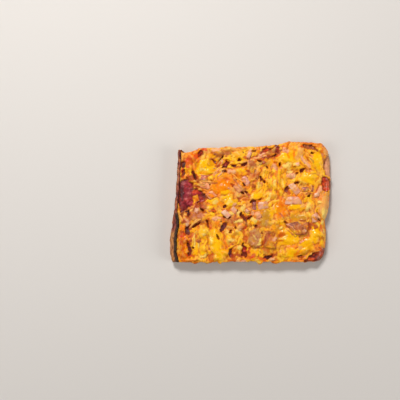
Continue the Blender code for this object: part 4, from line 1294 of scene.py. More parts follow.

# Single shreds, stain marks and scorched bits, and a few painted highlights and painted light, later ones
# on top
DETAILS = (
    (Tone.ORANGE, (
        (272, 179, 15, 1.6, 88), (275, 176, 14, 2, 90), (290, 247, 19, 2.4, 4), (297, 254, 8, 4, 60),
        (288, 155, 9, 2, 100), (294, 152, 12, 1.8, 95), (280, 198, 15, 2.4, 84), (321, 148, 8, 3, -25),
        (227, 246, 14, 2, 110), (233, 181, 17, 2.4, -36), (228, 178, 14, 2, -20), (258, 157, 15, 2, 14),
        (282, 205, 12, 2, 70), (268, 202, 9, 2, 40), (214, 190, 9, 5), (275, 205, 9, 3, 60),
        (322, 200, 8, 3, 80), (253, 255, 9, 6), (325, 246, 8, 3, 95), (205, 219, 5, 4), (223, 223, 4, 5),
        (199, 196, 8, 5, 80), (260, 200, 8, 2, 50), (187, 260, 14, 4), (183, 228, 8, 5, 90),
        (211, 227, 6, 4, 60), (211, 157, 6, 4), (246, 157, 5, 4, 30), (232, 185, 8, 4, -30),
        (211, 155, 6, 4), (253, 255, 6, 4), (239, 248, 5, 3, 30),
    )),
    (Tone.GOLD, (
        (268, 175, 13, 2.4, 84), (285, 172, 12, 3, 80), (250, 190, 10, 5, 60), (263, 187, 14, 3, 78),
        (288, 163, 10, 3, 20), (311, 166, 12, 3, -50), (236, 153, 12, 3), (246, 159, 12, 3, 85),
        (295, 241, 12, 3, 30), (225, 252, 6, 12, 80), (274, 227, 8, 6), (302, 235, 7, 3), (239, 249, 6, 5),
        (236, 229, 10, 3, -20), (254, 253, 12, 5, -40), (240, 171, 9, 4), (211, 178, 9, 4, 20),
        (211, 206, 7, 5), (204, 219, 6, 4), (316, 241, 8, 6), (204, 227, 6, 4, 60), (302, 178, 8, 4),
    )),
    (Tone.YELLOW, (
        (279, 176, 18, 2.6, 87), (266, 186, 15, 2.4, 78), (285, 187, 12, 2.4, 95), (193, 243, 15, 2.4, 92),
        (197, 247, 13, 2.2, 84), (232, 246, 12, 2.4, 35), (239, 242, 10, 2.2, 50), (313, 162, 15, 3, -62),
        (307, 197, 9, 2.4, 80), (274, 189, 13, 2.2, 86), (191, 172, 10, 3, 75), (233, 166, 14, 3, 5),
        (244, 157, 14, 3, 85), (229, 156, 10, 3, 70), (247, 212, 9, 2.4, -60), (318, 152, 9, 3, 40),
        (271, 204, 8, 2.2, 60), (215, 176, 12, 4, 20), (226, 197, 13, 3, 20), (210, 201, 13, 3, 15),
        (188, 235, 6, 3), (205, 243, 10, 2.6, 70), (203, 230, 10, 7, 70), (210, 207, 8, 5, 10),
        (244, 170, 8, 3, -20), (316, 240, 8, 6, 60), (274, 170, 8, 5, 80), (204, 253, 5, 4),
        (302, 177, 8, 4), (274, 177, 7, 4, 80), (239, 170, 6, 4), (225, 192, 8, 5, 20),
        (281, 193, 7, 4, 80),
    )),
    (Tone.PALE, (
        # Painted highlights and painted light: the pale spots at (281.5, 228), (204, 229) and (320, 202)
        # stand for glints, and those at columns 323 and 324 lighten the rim's shaded slope.
        (296, 165, 6, 3), (288, 165, 9, 6, 20), (289, 171, 8, 3), (308, 207, 9, 5, 70),
        (281.5, 228, 5, 3, 60), (204, 229, 5, 3, 80), (268, 200, 7, 3, 40), (206, 255, 6, 3, 40),
        (324, 214, 12, 5, 88), (323, 222, 6, 4, 90), (323, 231, 6, 3, 95), (274, 184, 7, 3, 80),
        (239, 248, 7, 4, 20), (260, 241, 8, 4, 85), (239, 221, 8, 3, 20), (195, 241, 14, 2.2, 91),
        (320, 202, 6, 3), (204, 234, 5, 3), (243, 208, 9, 5, 60), (231, 240, 8, 3, 10),
        (211, 240, 14, 1.8, 100), (284, 237, 8, 2, 20), (271, 196, 8, 2, 75), (237, 231, 6, 2.4),
        (199, 244, 9, 1.8, 84), (283, 182, 9, 1.8, 90), (259, 184, 9, 1.8, 75), (229, 202, 7, 4, 30),
        (215, 202, 7, 3, 10),
    )),
    (Tone.BLUSH, (
        (239, 212, 6, 4, 30), (222, 173, 11, 1.6, 40), (221.5, 162, 5, 2.4, 60), (232, 172, 8, 5),
        (218, 149, 11, 3, 5), (249, 154, 9, 4, 75), (292, 175, 9, 6), (286, 151, 7, 4),
        (306, 163, 15, 3.4, -56), (302, 158, 10, 2.4, -60), (258, 216, 8, 7, 60), (216, 218, 8, 4),
        (253, 214, 6, 4, 60), (317, 216, 11, 4, -60), (254, 243, 7, 4), (240, 262, 9, 3),
        (273, 259, 6, 5, 20), (275, 238, 6, 4, 30), (234, 205, 5, 3, 60), (297, 225, 14, 1.8, -45),
        (187, 222, 9, 3, -50), (262, 155, 9, 2.4, 20), (320, 190, 9, 5, 70), (197, 210, 3, 4, 60),
        (275, 167, 7, 3, -60), (245, 262, 6, 3),
    )),
    (Tone.TAN, (
        (299, 152, 15, 5, 80), (326, 153, 13, 4, -60), (206, 181, 12, 2, -6), (204, 184, 15, 1.8, 6),
        (240, 187, 17, 1.8, -52), (244, 191, 12, 1.6, -60), (196, 222, 17, 2, 38), (190, 211, 15, 1.8, 35),
        (286, 199, 8, 1.6, -20), (252, 160, 9, 2, -20), (206, 208, 9, 3, 10), (303, 205, 7, 4),
        (229, 227, 9, 3), (325, 200, 16, 6, 85), (246, 164, 8, 4, -30), (239, 227, 7, 5, 40),
        (300, 247, 6, 4),
    )),
    (Tone.OLIVE, (
        (265, 219, 15, 8, 80), (312, 161, 11, 2, -55), (206, 256, 8, 5, 60), (296, 219, 14, 5, -8),
        (235, 234, 6, 3), (315, 174, 10, 2), (211, 255, 8, 5, 70), (303, 237, 10, 2, 40),
    )),
    (Tone.AMBER, (
        (281, 248, 9, 5, 20), (302, 241, 9, 5, 30), (281, 241, 6, 4), (211, 164, 6, 5, 60),
        (197, 165, 6, 4, 60), (304, 251, 9, 4, 20), (253, 171, 6, 4), (204, 200, 5, 3), (295, 220, 8, 4),
        (204, 227, 6, 4, 60), (309, 247, 6, 4, 40),
    )),
    (Tone.CREASE, (
        (211, 227, 6, 5, 60), (246, 157, 5, 4, 30), (288, 227, 5, 4), (236, 255, 10, 5), (272, 255, 8, 5),
        (190, 178, 10, 6), (197, 178, 5, 9, 20), (190, 227, 8, 5, 80), (190, 235, 8, 6), (183, 234, 8, 5),
        (190, 241, 6, 5, 60), (182, 246, 22, 5, 92), (184, 256, 8, 5), (309, 227, 8, 6, 80),
        (246, 199, 8, 5), (218, 164, 7, 5, 40), (197, 206, 8, 5, 60), (267, 157, 9, 3, 15),
        (211, 255, 8, 5, 60), (204, 200, 7, 5), (246, 241, 8, 5, 70), (246, 178, 3, 6, 40),
        (281, 234, 7, 4), (288, 193, 7, 4), (183, 221, 6, 4), (253, 255, 5, 3), (302, 241, 7, 2, 40),
        (232, 260, 8, 4), (190, 186, 3, 6, 80), (253, 233, 5, 6), (281, 241, 5, 2), (183, 242, 7, 7),
        (204, 178, 5, 4), (188, 227, 6, 8), (226, 163, 5, 5), (232, 255, 4, 9), (204, 200, 6, 5),
        (190, 227, 6, 6), (253, 256, 6, 4), (267, 236, 6, 5, 80), (211, 192, 5, 4), (295, 227, 7, 4, -40),
    )),
    (Tone.TOAST, (
        (214, 157, 8, 4, 40), (227, 153, 10, 4), (252, 163, 9, 4, -40), (253, 208, 10, 3, 82),
        (195, 208, 8, 4, 70), (198, 216, 12, 5, -30), (191, 219, 8, 3, 40), (256, 228, 7, 4, 30),
        (262, 161, 8, 3, -20), (266, 166, 5, 2.4), (256, 228, 8, 4, 40), (267, 238, 14, 4, 82),
        (261, 246, 9, 4, 10), (198, 241, 5, 3), (248, 194, 8, 3, -50), (323, 160, 13, 2.4, 95),
        (206, 176, 8, 2), (213, 183, 12, 1.4), (207, 186, 9, 1.4, 8), (238, 185, 17, 1.4, -50),
        (304, 234, 12, 1.4, 30), (291, 233, 14, 1.6, -40), (310, 224, 6, 3, -70), (246, 226, 9, 2, 84),
        (210, 211, 6, 2), (199, 221, 9, 2, 30), (288, 210, 12, 1.4, -60), (283, 216, 10, 1.4, -50),
        (231, 214, 5, 2), (276, 246, 7, 3, 70),
    )),
    (Tone.RUSSET, (
        (239, 256, 9, 4, -15), (275, 255, 5, 3, 20), (309, 227, 7, 4, 80), (274, 234, 6, 4, 20),
        (190, 228, 6, 4, 60), (183, 221, 6, 4), (204, 213, 6, 3, 20), (183, 171, 5, 3, 90),
        (204, 199, 5, 2, 30), (232, 185, 5, 2, -40), (197, 206, 7, 4, 60), (196, 203, 4, 3),
        (239, 164, 6, 2), (204, 199, 8, 5, -20), (201, 202, 5, 3), (190, 227, 7, 5, 70),
        (190, 185, 4, 7, 85), (197, 178, 9, 4, -65), (190, 178, 8, 4), (232, 256, 6, 4, 60),
        (246, 247, 7, 3, 50), (250, 241, 7, 1.5, 70), (256, 246, 7, 1.3, 10), (262, 237, 8, 1.3, 80),
        (255, 231, 6, 1.1, 25), (256, 239, 5, 1.1, -40), (265, 240, 10, 1.8, 86), (270, 235, 5, 1.8, 10),
        (253, 206, 3, 6), (183, 234, 6, 4, 60), (190, 241, 5, 3), (183, 221, 5, 3), (302, 257, 10, 3, 10),
        (316, 227, 6, 4, -60), (309, 193.5, 6, 2), (239, 206, 6, 2.4, 20), (239, 199, 5, 2.4, -30),
        (253, 186, 4, 4), (246, 178, 4, 6, 40), (281, 150, 6, 2.4, 20), (254, 157, 7, 1.8, 10),
        (267, 157, 9, 2.4, 15), (302, 221, 10, 2, -5), (225, 171, 5, 2, 30), (248, 171, 6, 2, -20),
        (262, 233, 4, 3), (218, 166, 6, 2.4, 50), (197, 186, 6, 2),
    )),
    (Tone.BREAD, (
        (253, 231, 8, 6, 30), (257, 243, 7, 6, 60), (250, 240, 4, 7), (258, 235, 6, 6, 10),
        (254, 237, 8, 6), (255, 247, 5, 3, 30),
    )),
    (Tone.GOLD, (
        (248, 246, 6, 3, -40), (262, 247, 6, 3, 30), (247, 229, 5, 2, 50), (265, 229, 8, 2.4, -20),
        (278, 246, 6, 3, 70), (262, 240, 8, 2, 85), (270, 247, 8, 2, 10), (211, 156, 7, 5),
    )),
    (Tone.TOAST, ((252, 234, 6, 2, 40), (257, 238, 7, 2, -60), (252, 243, 5, 2, 20))),
    (Tone.PALE, (
        # Painted highlights: the thin streaks at (255, 237), (260, 240) and (259, 244) stand for glints.
        (255, 237, 7, 1.2, -50), (260, 240, 6, 1.3, 75), (259, 244, 4, 1.2, 20), (204, 170, 8, 5),
        (253, 220, 6, 5), (232, 213, 6, 5), (239, 213, 6, 4), (204, 256, 6, 3),
    )),
    (Tone.EMBER, (
        (189, 161, 12, 9, 55), (196, 156, 12, 5, 30), (188, 166, 6, 4), (321, 252, 5, 8),
        (182, 170, 16, 3, 88), (203, 150, 9, 4, 30), (205, 150, 5, 3), (182, 235, 8, 3), (186, 239, 7, 3),
        (249, 251, 8, 4, 70), (262, 259, 9, 4), (322, 228, 11, 2, -72), (251, 257, 6, 4),
        (278, 155, 8, 2.4, 20), (260, 158, 8, 1.6, 10), (209, 221, 6, 2, 80), (213, 210, 6, 2),
        (245, 229, 6, 2, 85), (303, 146, 6, 2), (190, 256, 6, 2),
    )),
    (Tone.RUST, (
        (202, 153, 6, 5, 40), (266, 150, 10, 2.6, 15), (277, 150, 8, 2.6, 62), (261, 153, 9, 1.4, 30),
        (271, 156.5, 10, 1.6, 26), (250, 159, 8, 1.4, 70), (308, 147, 7, 2.4, -5), (316, 150, 8, 2, -25),
        (244, 192.5, 5, 1.6, 40), (208, 224, 7, 1.6, 80), (247, 217, 6, 2.4, 30), (263, 163, 4, 2),
        (315, 216, 10, 1.2, -62), (246, 222, 7, 1.4, 70), (270, 233, 5, 2.4, 20), (254, 152, 7, 1.4, 45),
        (280, 152, 6, 1.6, 40), (262, 232, 4, 1.4, 60), (199, 242, 4, 2.4), (214, 208.5, 4, 1.4, 10),
    )),
)

# How far each tone's spots rise above the rest
RISES = {
    Tone.YELLOW: 1.15, Tone.PALE: 1.35, Tone.GOLD: 1.0, Tone.TAN: 0.95, Tone.BLUSH: 1.0,
    Tone.ORANGE: 0.75, Tone.OLIVE: 0.5, Tone.TOAST: 0.45, Tone.BREAD: 0.6,
}

# Drips over the cuts: x, whether at the near cut, width, how far out and how far down
DRIPS = (
    (-57.5, True, 8.0, 2.5, 4.6), (-44.0, True, 7.0, 1.8, 3.2), (-32.0, True, 4.0, 2.6, 6.4),
    (9.6, True, 6.0, 2.4, 4.2), (27.0, True, 8.0, 2.3, 3.4), (58.0, True, 5.0, 1.4, 2.6),
    (-22.0, False, 9.0, 1.2, 3.6), (44.0, False, 8.0, 0.6, 3.0),
)


def jittered(area: tuple, spacing: float, spread: float, draws: np.random.Generator) -> Iterator:
    """Places on a square lattice, each shifted at random just before it is used."""
    for east in np.arange(*area[0], spacing):
        for north in np.arange(*area[1], spacing):
            shift = spacing * draws.uniform(-spread, spread, 2)
            yield east + shift[0], north + shift[1]


@dataclass
class Cheese:
    """The melted cheese: a lumpy blanket with gaps, pockets for the ham and drips."""

    raster: Raster
    hams: list
    rows: int = 256
    middle: int = 318
    rim_columns: int = 15
    base: float = 2.3
    lowest: float = 0.75
    depth: float = 2.1
    edge_share: float = 0.25
    relief_share: float = 0.8
    calm_share: float = 0.12
    under_share: float = 0.35
    detail_level: float = 0.75
    grain: float = 0.12
    dive: float = 1.0
    lip: float = 0.8
    crack_lip: float = 0.6
    lump_spacing: float = 9.6
    lump_area: tuple = ((-80.0, 86.0), (-60.0, 64.0))
    lump_lengths: tuple = (8.0, 18.0)
    lump_widths: tuple = (6.0, 9.0)
    lump_heights: tuple = (0.5, 3.2)
    lump_turns: tuple = (-35.0, 45.0)
    shred_spacing: float = 3.6
    shred_area: tuple = ((-84.0, 88.0), (-64.0, 66.0))
    shred_lengths: tuple = (4.0, 12.0)
    shred_widths: tuple = (1.6, 3.8)
    shred_heights: tuple = (0.15, 0.8)
    shred_turns: tuple = (40.0, 110.0, 26.0)
    combed: float = 9.0
    bend: float = 0.35
    ceiling: float = 17.6
    levelling: float = 0.2
    bead_height: float = 0.55
    collar_drop: float = 0.45
    side_rings: int = 12
    side_bulge: float = 0.55
    side_wave: float = 0.3
    underside: float = 0.8
    thinnest: float = 0.3
    tuck: float = 1.2
    under_rings: tuple = (0.96, 0.9, 0.8, 0.6, 0.3)
    under_dough: float = 0.8
    sunk: float = 0.6
    relief: Array = field(init=False)
    gaps: Array = field(init=False)
    cracks: Array = field(init=False)
    colour: Array = field(init=False)
    wetness: Array = field(init=False)
    veil: Array = field(init=False)
    stains_and_glints: Array = field(init=False)
    folds: Array = field(init=False)

    def lumps(self) -> tuple:
        """Domes on a jittered grid, each with a seeded size and turn, as in the solid."""
        draws = seeded(0)
        found = []
        for x, y in jittered(self.lump_area, self.lump_spacing, 0.45, draws):
            length, width = draws.uniform(*self.lump_lengths), draws.uniform(*self.lump_widths)
            turn, height = draws.normal(*self.lump_turns), draws.uniform(*self.lump_heights)
            found.append(Form(x, y, length, width, turn, height))
        return tuple(found)

    def shreds(self) -> tuple:
        """Melted shreds on a jittered grid, turned along a slowly wandering direction."""
        draws = seeded(80)
        middle_turn, wander, spread = self.shred_turns
        found = []
        for x, y in jittered(self.shred_area, self.shred_spacing, 0.6, draws):
            turn = middle_turn + wander * float(noise(np.array(x), np.array(y), 26.0, 81))
            turn += draws.normal(0.0, spread)
            for column, row, radius, degrees in COMBS:
                middle = Spot(column, row, radius, radius).form()
                if np.hypot(x - middle.x, y - middle.y) < radius * PIXEL:
                    turn = degrees + draws.normal(0.0, self.combed)
            length, width = draws.uniform(*self.shred_lengths), draws.uniform(*self.shred_widths)
            height = draws.uniform(*self.shred_heights)
            found.append(Form(x, y, length, width, turn, height, draws.normal(0.0, self.bend)))
        return tuple(found)

    def blobs(self) -> tuple:
        """A raised lump under each painted spot, higher for the paler tones."""
        layers = ((tone, spots) for tone, spots in (*AREAS, *DETAILS) if tone in RISES)
        return tuple(form for tone, spots in layers for form in ovals(spots, RISES[tone]))

    def gap_share(self, forms: tuple, bridges: tuple, lip: float) -> Array:
        """0 in a gap and 1 away from it: sqrt(1 - (1 - d)^2) over the lip, a round edge.

        d is the distance from the gap's outline over the lip's width, made ragged by noise.
        """
        raster = self.raster
        away = np.full_like(raster.x, 2.0)
        for form in forms:
            half = 0.5 * min(form.length, form.width)
            at = raster.window(form, 1.0 + 2.5 * lip / half)
            away[at] = np.minimum(away[at], (raster.oval(form, at, 1.0) - 1.0) * half / lip)
        for form in bridges:
            half = 0.5 * min(form.length, form.width)
            at = raster.window(form, 1.3)
            away[at] = np.maximum(away[at], (1.0 - raster.oval(form, at, 0.7)) * half / lip)
        away += 0.9 * raster.grain(2.2, 90, 2) * ease(2.0 - away)
        return np.sqrt(1.0 - (1.0 - np.clip(away, 0, 1)) ** 2)

    def prepare(self) -> None:
        """Works out the height above the crust, the colour and the wetness on the raster."""
        raster = self.raster
        calm = raster.cover(ovals(CALM), 0.6)
        forms = self.relief_share * (raster.pile(FORMS, 0.2) + raster.pile(self.lumps(), 0.2))
        shreds = self.shreds()
        heights, owner = raster.patchwork(shreds, 0.6)
        heights = heights * lerp(1.0, self.calm_share, calm)
        blobs = raster.pillows(self.blobs(), 0.1, 1.0)
        detail = np.maximum(blobs, heights) + self.under_share * np.minimum(blobs, heights)
        detail = detail - self.detail_level + self.grain * raster.grain(1.6, 82, 2)
        beads = raster.pile(ovals(BEADS, self.bead_height), 0.1, 1.2)
        self.relief = forms + detail + beads
        self.gaps = self.gap_share(OPENINGS, ovals(BRIDGES), self.lip)
        self.cracks = self.gap_share(ovals(CRACKS), (), self.crack_lip)
        self.paint(calm, shreds, owner)
        damp = 0.35 + 0.35 * raster.grain(6.0, 87)
        self.wetness = np.clip(damp + 0.5 * calm + beads, 0, 1)
        self.veil = raster.cover(ovals(VEILS), 0.7) + 1.1 * raster.grain(4.2, 88, 3)
        self.folds = 0.6 * (self.relief - raster.soften(self.relief, 2.4)).clip(-0.7, 0.7)
        spots = tuple(form for _, layer in HAM_STAINS_AND_GLINTS for form in ovals(layer))
        stain_and_glint_colour = raster.paint(Tone.TAN.rgb, HAM_STAINS_AND_GLINTS, 1.0)
        self.stains_and_glints = with_wetness(stain_and_glint_colour, raster.cover(spots, 0.5))

    def film(self, ham: HamPiece, x: Array, y: Array) -> Array:
        """Thickness of the cheese over a piece of ham, below 0 where the piece is bare."""
        thin = np.clip(1.2 * (ham.cover - 0.85) + self.raster.read(self.veil, x, y), -0.9, 0.4)
        return thin + self.raster.read(self.folds, x, y) * ease((ham.cover - 0.75) / 0.3)

    def over_ham(self, ham: HamPiece, x: Array, y: Array, colour: Array) -> Array:
        """A ham piece's colour with its stain marks and painted glints, and with thin cheese where the
        film runs out.
        """
        stains_and_glints = self.raster.read(self.stains_and_glints, x, y)
        colour = lerp(colour, stains_and_glints[..., :3], 0.75 * stains_and_glints[..., 3:])
        share = 0.7 * ease((self.film(ham, x, y) + 0.4) / 0.4)
        return tinge(colour, self.raster.read(self.colour, x, y), share)

    def paint(self, calm: Array, shreds: tuple, owner: Array) -> None:
        """Broad areas, then each shred in one tone, details, painted shade in the hollows and creases, and
        painted highlights on the ridges.

        calm is 1 on the smooth pools, and owner is the number of the shred on top at each place.
        """
        raster = self.raster
        wide, middle = raster.grain(10.0, 83, 2), raster.grain(5.0, 84, 2)
        colour = tinge(Tone.GOLD.rgb, Tone.YELLOW, ease(1.5 * wide))
        colour = tinge(colour, Tone.ORANGE, ease(-1.5 * wide))
        colour = tinge(colour, Tone.TAN, 0.5 * ease((middle - 0.3) * 2.5))
        colour = tinge(colour, Tone.TOAST, 0.4 * ease((-middle - 0.45) * 2.5))
        colour = raster.paint(colour, AREAS, 0.95)
        draws = seeded(84)
        east, north = np.array([(shred.x, shred.y) for shred in shreds]).T
        tint = raster.read(colour, east, north) * draws.uniform(0.8, 1.12, (len(shreds), 1))
        tint = tinge(tint, Tone.PALE, 0.65 * draws.uniform(0.0, 1.0, len(shreds)) ** 3)
        tint = tinge(tint, Tone.ORANGE, 0.6 * draws.uniform(0.0, 1.0, len(shreds)) ** 3)
        tint = np.concatenate([tint, Tone.CREASE.rgb[None]])
        colour = tinge(tint[owner], colour, lerp(0.3, 0.9, calm))
        colour = raster.paint(colour, DETAILS, 0.92)
        # Painted shade: the hollows and the thin creases between shreds are darkened, partly standing for
        # the browned fat that gathers in them.
        above = self.relief - raster.soften(self.relief, 1.6)
        sunk = ease((-above - 0.05) / 0.5) * lerp(1.0, 0.4, calm)
        deep = tinge(Tone.CREASE.rgb, Tone.TOAST, 0.6 * ease(2.0 * middle))
        colour = tinge(colour, deep, 0.55 * sunk)
        line = self.relief - raster.soften(self.relief, 0.7)
        crease_shade = ease((-line - 0.04) / 0.22)
        colour = tinge(colour, 0.65 * deep, 0.42 * crease_shade)
        # Painted highlight: the raised ridges are lightened towards the pale tone.
        raised = ease((above - 0.2) / 0.6)
        colour = tinge(colour, Tone.PALE, 0.22 * raised)
        edge = 1.0 - np.minimum(self.gaps, self.cracks)
        self.colour = tinge(colour, Tone.RUST, 0.85 * ease((edge - 0.5) * 2.2))

    def surface(self, x: Array, y: Array) -> Array:
        """Height of the cheese's top, with gaps, ham pockets and the bread left bare."""
        fade = lerp(self.edge_share, 1.0, PLAN.side_fade(x, y))
        fields = (self.relief, self.gaps, self.cracks)
        relief, gaps, cracks = (self.raster.read(values, x, y) for values in fields)
        full = self.base + self.lowest + (self.depth - self.lowest + relief) * fade
        crust = PLAN.above_crust(x, y)
        z = crust + lerp(self.dive, lerp(lerp(full, self.dive, 0.8), full, cracks), gaps)
        for ham in sorted(self.hams, key=lambda piece: -piece.cover):
            inward, top = ham.inside(x, y), ham.top(x, y)
            collar = (1.0 - ease(ham.cover)) * ease((inward + 1.6) / 1.2)
            z = lerp(z, np.minimum(z, top - self.collar_drop), collar)
            melted = ease((inward + 0.15 + 2.6 * ham.soft) / (0.4 + 2.5 * ham.soft))
            z = lerp(z, top + self.film(ham, x, y), melted)
        z = self.ceiling - self.levelling * np.log1p(np.exp((self.ceiling - z) / self.levelling))
        dough = bare_dough(self.raster, 0.35, x, y)
        return lerp(z, crust - self.under_dough, ease(dough * 1.4))

    def tinted(self, x: Array, y: Array) -> Array:
        """The cheese's colour, with the ham's colour through it where it lies thin over ham."""
        colour = self.raster.read(self.colour, x, y)
        for ham in self.hams:
            inward = ham.inside(x, y)
            at = inward > -0.2
            under = ham.colour(x[at], y[at], inward[at])
            frayed = inward[at] + 3.0 * ham.soft * self.raster.read(self.raster.fray, x[at], y[at])
            share = 0.6 - 0.2 * ham.soft - 0.6 * ease((ham.cover - 1.5) / 0.6)
            share = max(share, 0.0) * ease(frayed / (0.4 + 2.2 * ham.soft))
            share = share * (1.0 - ease(self.film(ham, x[at], y[at]) / 0.4))
            colour[at] = tinge(colour[at], under, share)
        return colour

    def drips(self, ring: Array) -> tuple:
        """How far the cheese hangs down and reaches out at each point of the border.

        Each drip is a squared cosine along the cut; the two cut sides have their own.
        """
        down, out = np.zeros(len(ring)), np.zeros(len(ring))
        for x, near, width, reach, drop in DRIPS:
            side = ring[:, 1] < 0 if near else ring[:, 1] > 0
            t = np.clip(np.abs(ring[:, 0] - x) / (0.75 * width), 0, 1)
            shape = np.cos(0.5 * np.pi * t) ** 2 * side
            down = np.maximum(down, drop * shape)
            out = np.maximum(out, reach * shape**0.7)
        return down, out

    def build(self) -> bpy.types.Object:
        """The cheese in place of its solid."""
        x, y = PLAN.grid(PLAN.inside_wall, PLAN.overhang, (1, self.middle, self.rim_columns), self.rows)
        tone = with_wetness(self.tinted(x, y), self.raster.read(self.wetness, x, y))
        shell = Shell(np.stack([x, y, self.surface(x, y)], axis=2), tone)
        ring, normal, tones = shell.edge()
        down, out = self.drips(ring)
        top = ring[:, 2]
        crust = PLAN.above_crust(*ring[:, :2].T)
        under = np.minimum(crust + self.underside, top - self.thinnest)
        wall = ease((-normal[:, 0] - 0.5) / 0.3)
        wave = self.side_wave * noise(*ring[:, :2].T, 3.0, 89, 2)
        middle, half = 0.5 * (top + under - down), 0.5 * (top - under + down)
        bulge = (self.side_bulge + wave + out) * (1.0 - wall)
        for turn in np.linspace(0.0, np.pi, self.side_rings + 1)[1:]:
            points = shifted(ring, normal, bulge * np.sin(turn) ** 0.8, middle + half * np.cos(turn))
            lower = lerp(tones[:, :3], Tone.ORANGE.rgb, 0.6 * turn / np.pi)
            shell.add(points, with_wetness(lower, tones[:, 3]))
        hidden = with_wetness(tones[:, :3] * 0.7, 0.3)
        shell.add(shifted(ring, normal, -self.tuck, under), hidden)
        shell.draw_in(self.under_rings, self.sunk, hidden)
        foot = (0.0, 0.0, PLAN.crust_top + self.sunk)
        return hand_over(shell.build("melted_cheese", foot), CHEESE_FINISH, "cheese", "cheese")


# ---- small things on top


def tubes(paths: Array, widths: Array, flatness: float, round_off: float) -> tuple:
    """Uneven flattened bars along many paths at once.

    Args:
        paths: middles of the rings of each tube, (tubes, rings, 3).
        widths: width of each tube, (tubes,).
        flatness: height over width.
        round_off: 1 for an oval section and pointed ends, towards 0 for a block.

    Returns:
        Points (tubes, rings * sides + 2, 3) and faces as a list of index arrays.
    """
    count, rings, sides = *paths.shape[:2], 8
    t = np.linspace(-1.0, 1.0, rings)
    radius = 0.5 * widths[:, None] * np.sqrt(1.0 - 0.9 * round_off * np.abs(t) ** (4.0 / round_off))
    along = np.gradient(paths[..., :2], axis=1)
    along /= np.maximum(np.linalg.norm(along, axis=2, keepdims=True), 1e-9)
    across = np.stack([-along[..., 1], along[..., 0]], axis=2)
    turn = 2 * np.pi * (np.arange(sides) + 0.5) / sides
    wide, high = (np.sign(part) * np.abs(part) ** round_off for part in (np.cos(turn), np.sin(turn)))
    points = np.empty((count, rings, sides, 3))
    points[..., :2] = paths[:, :, None, :2] + across[:, :, None] * (radius[..., None] * wide)[..., None]
    points[..., 2] = paths[:, :, None, 2] + flatness * radius[..., None] * high
    worn = 1.0 + 0.25 * noise(points[..., 0] + points[..., 2], points[..., 1], 0.9, 94, 2)
    points = paths[:, :, None] + (points - paths[:, :, None]) * worn[..., None]
    ends = paths[:, [0, -1]]
    points = np.concatenate([points.reshape(count, -1, 3), ends], axis=1)
    number = np.arange(rings * sides).reshape(rings, sides)
    turned = np.roll(number, -1, axis=1)
    quads = np.stack([number[:-1], turned[:-1], turned[1:], number[1:]], axis=-1).reshape(-1, 4)
    first, last = rings * sides, rings * sides + 1
    caps = np.concatenate([
        np.stack([turned[0], number[0], np.full(sides, first)], axis=1),
        np.stack([number[-1], turned[-1], np.full(sides, last)], axis=1),
    ])
    start = np.arange(count)[:, None, None] * points.shape[1]
    return points, [(quads[None] + start).reshape(-1, 4), (caps[None] + start).reshape(-1, 3)]


# Strands that stand out in the reference view
PLACED = (
    (Tone.PALE, ((220, 161.5, 9, 1.6, 55), (222.5, 169.5, 8, 1.5, 25), (246, 213, 7, 1.6, -60))),
    (Tone.BLUSH, (
        (217, 171, 12, 1.7, 36), (221, 173.5, 10, 1.6, 42), (215.5, 174, 7, 1.4, 40),
        (303, 160, 9, 2, -62),
    )),
    (Tone.TAN, (
        (207, 181.5, 11, 1.6, -6), (205, 184, 12, 1.5, 6), (238, 178, 18, 1.8, -35),
        (195, 223, 15, 1.8, 38), (260, 157, 15, 1.8, 14), (243, 190, 12, 1.6, -58),
        (186, 208, 10, 1.8, 35), (288, 215, 11, 1.6, -50),
    )),
    (Tone.GOLD, ((266, 186, 13, 2, 78), (279.5, 176, 15, 2, 87), (312, 163, 12, 2, -62))),
)


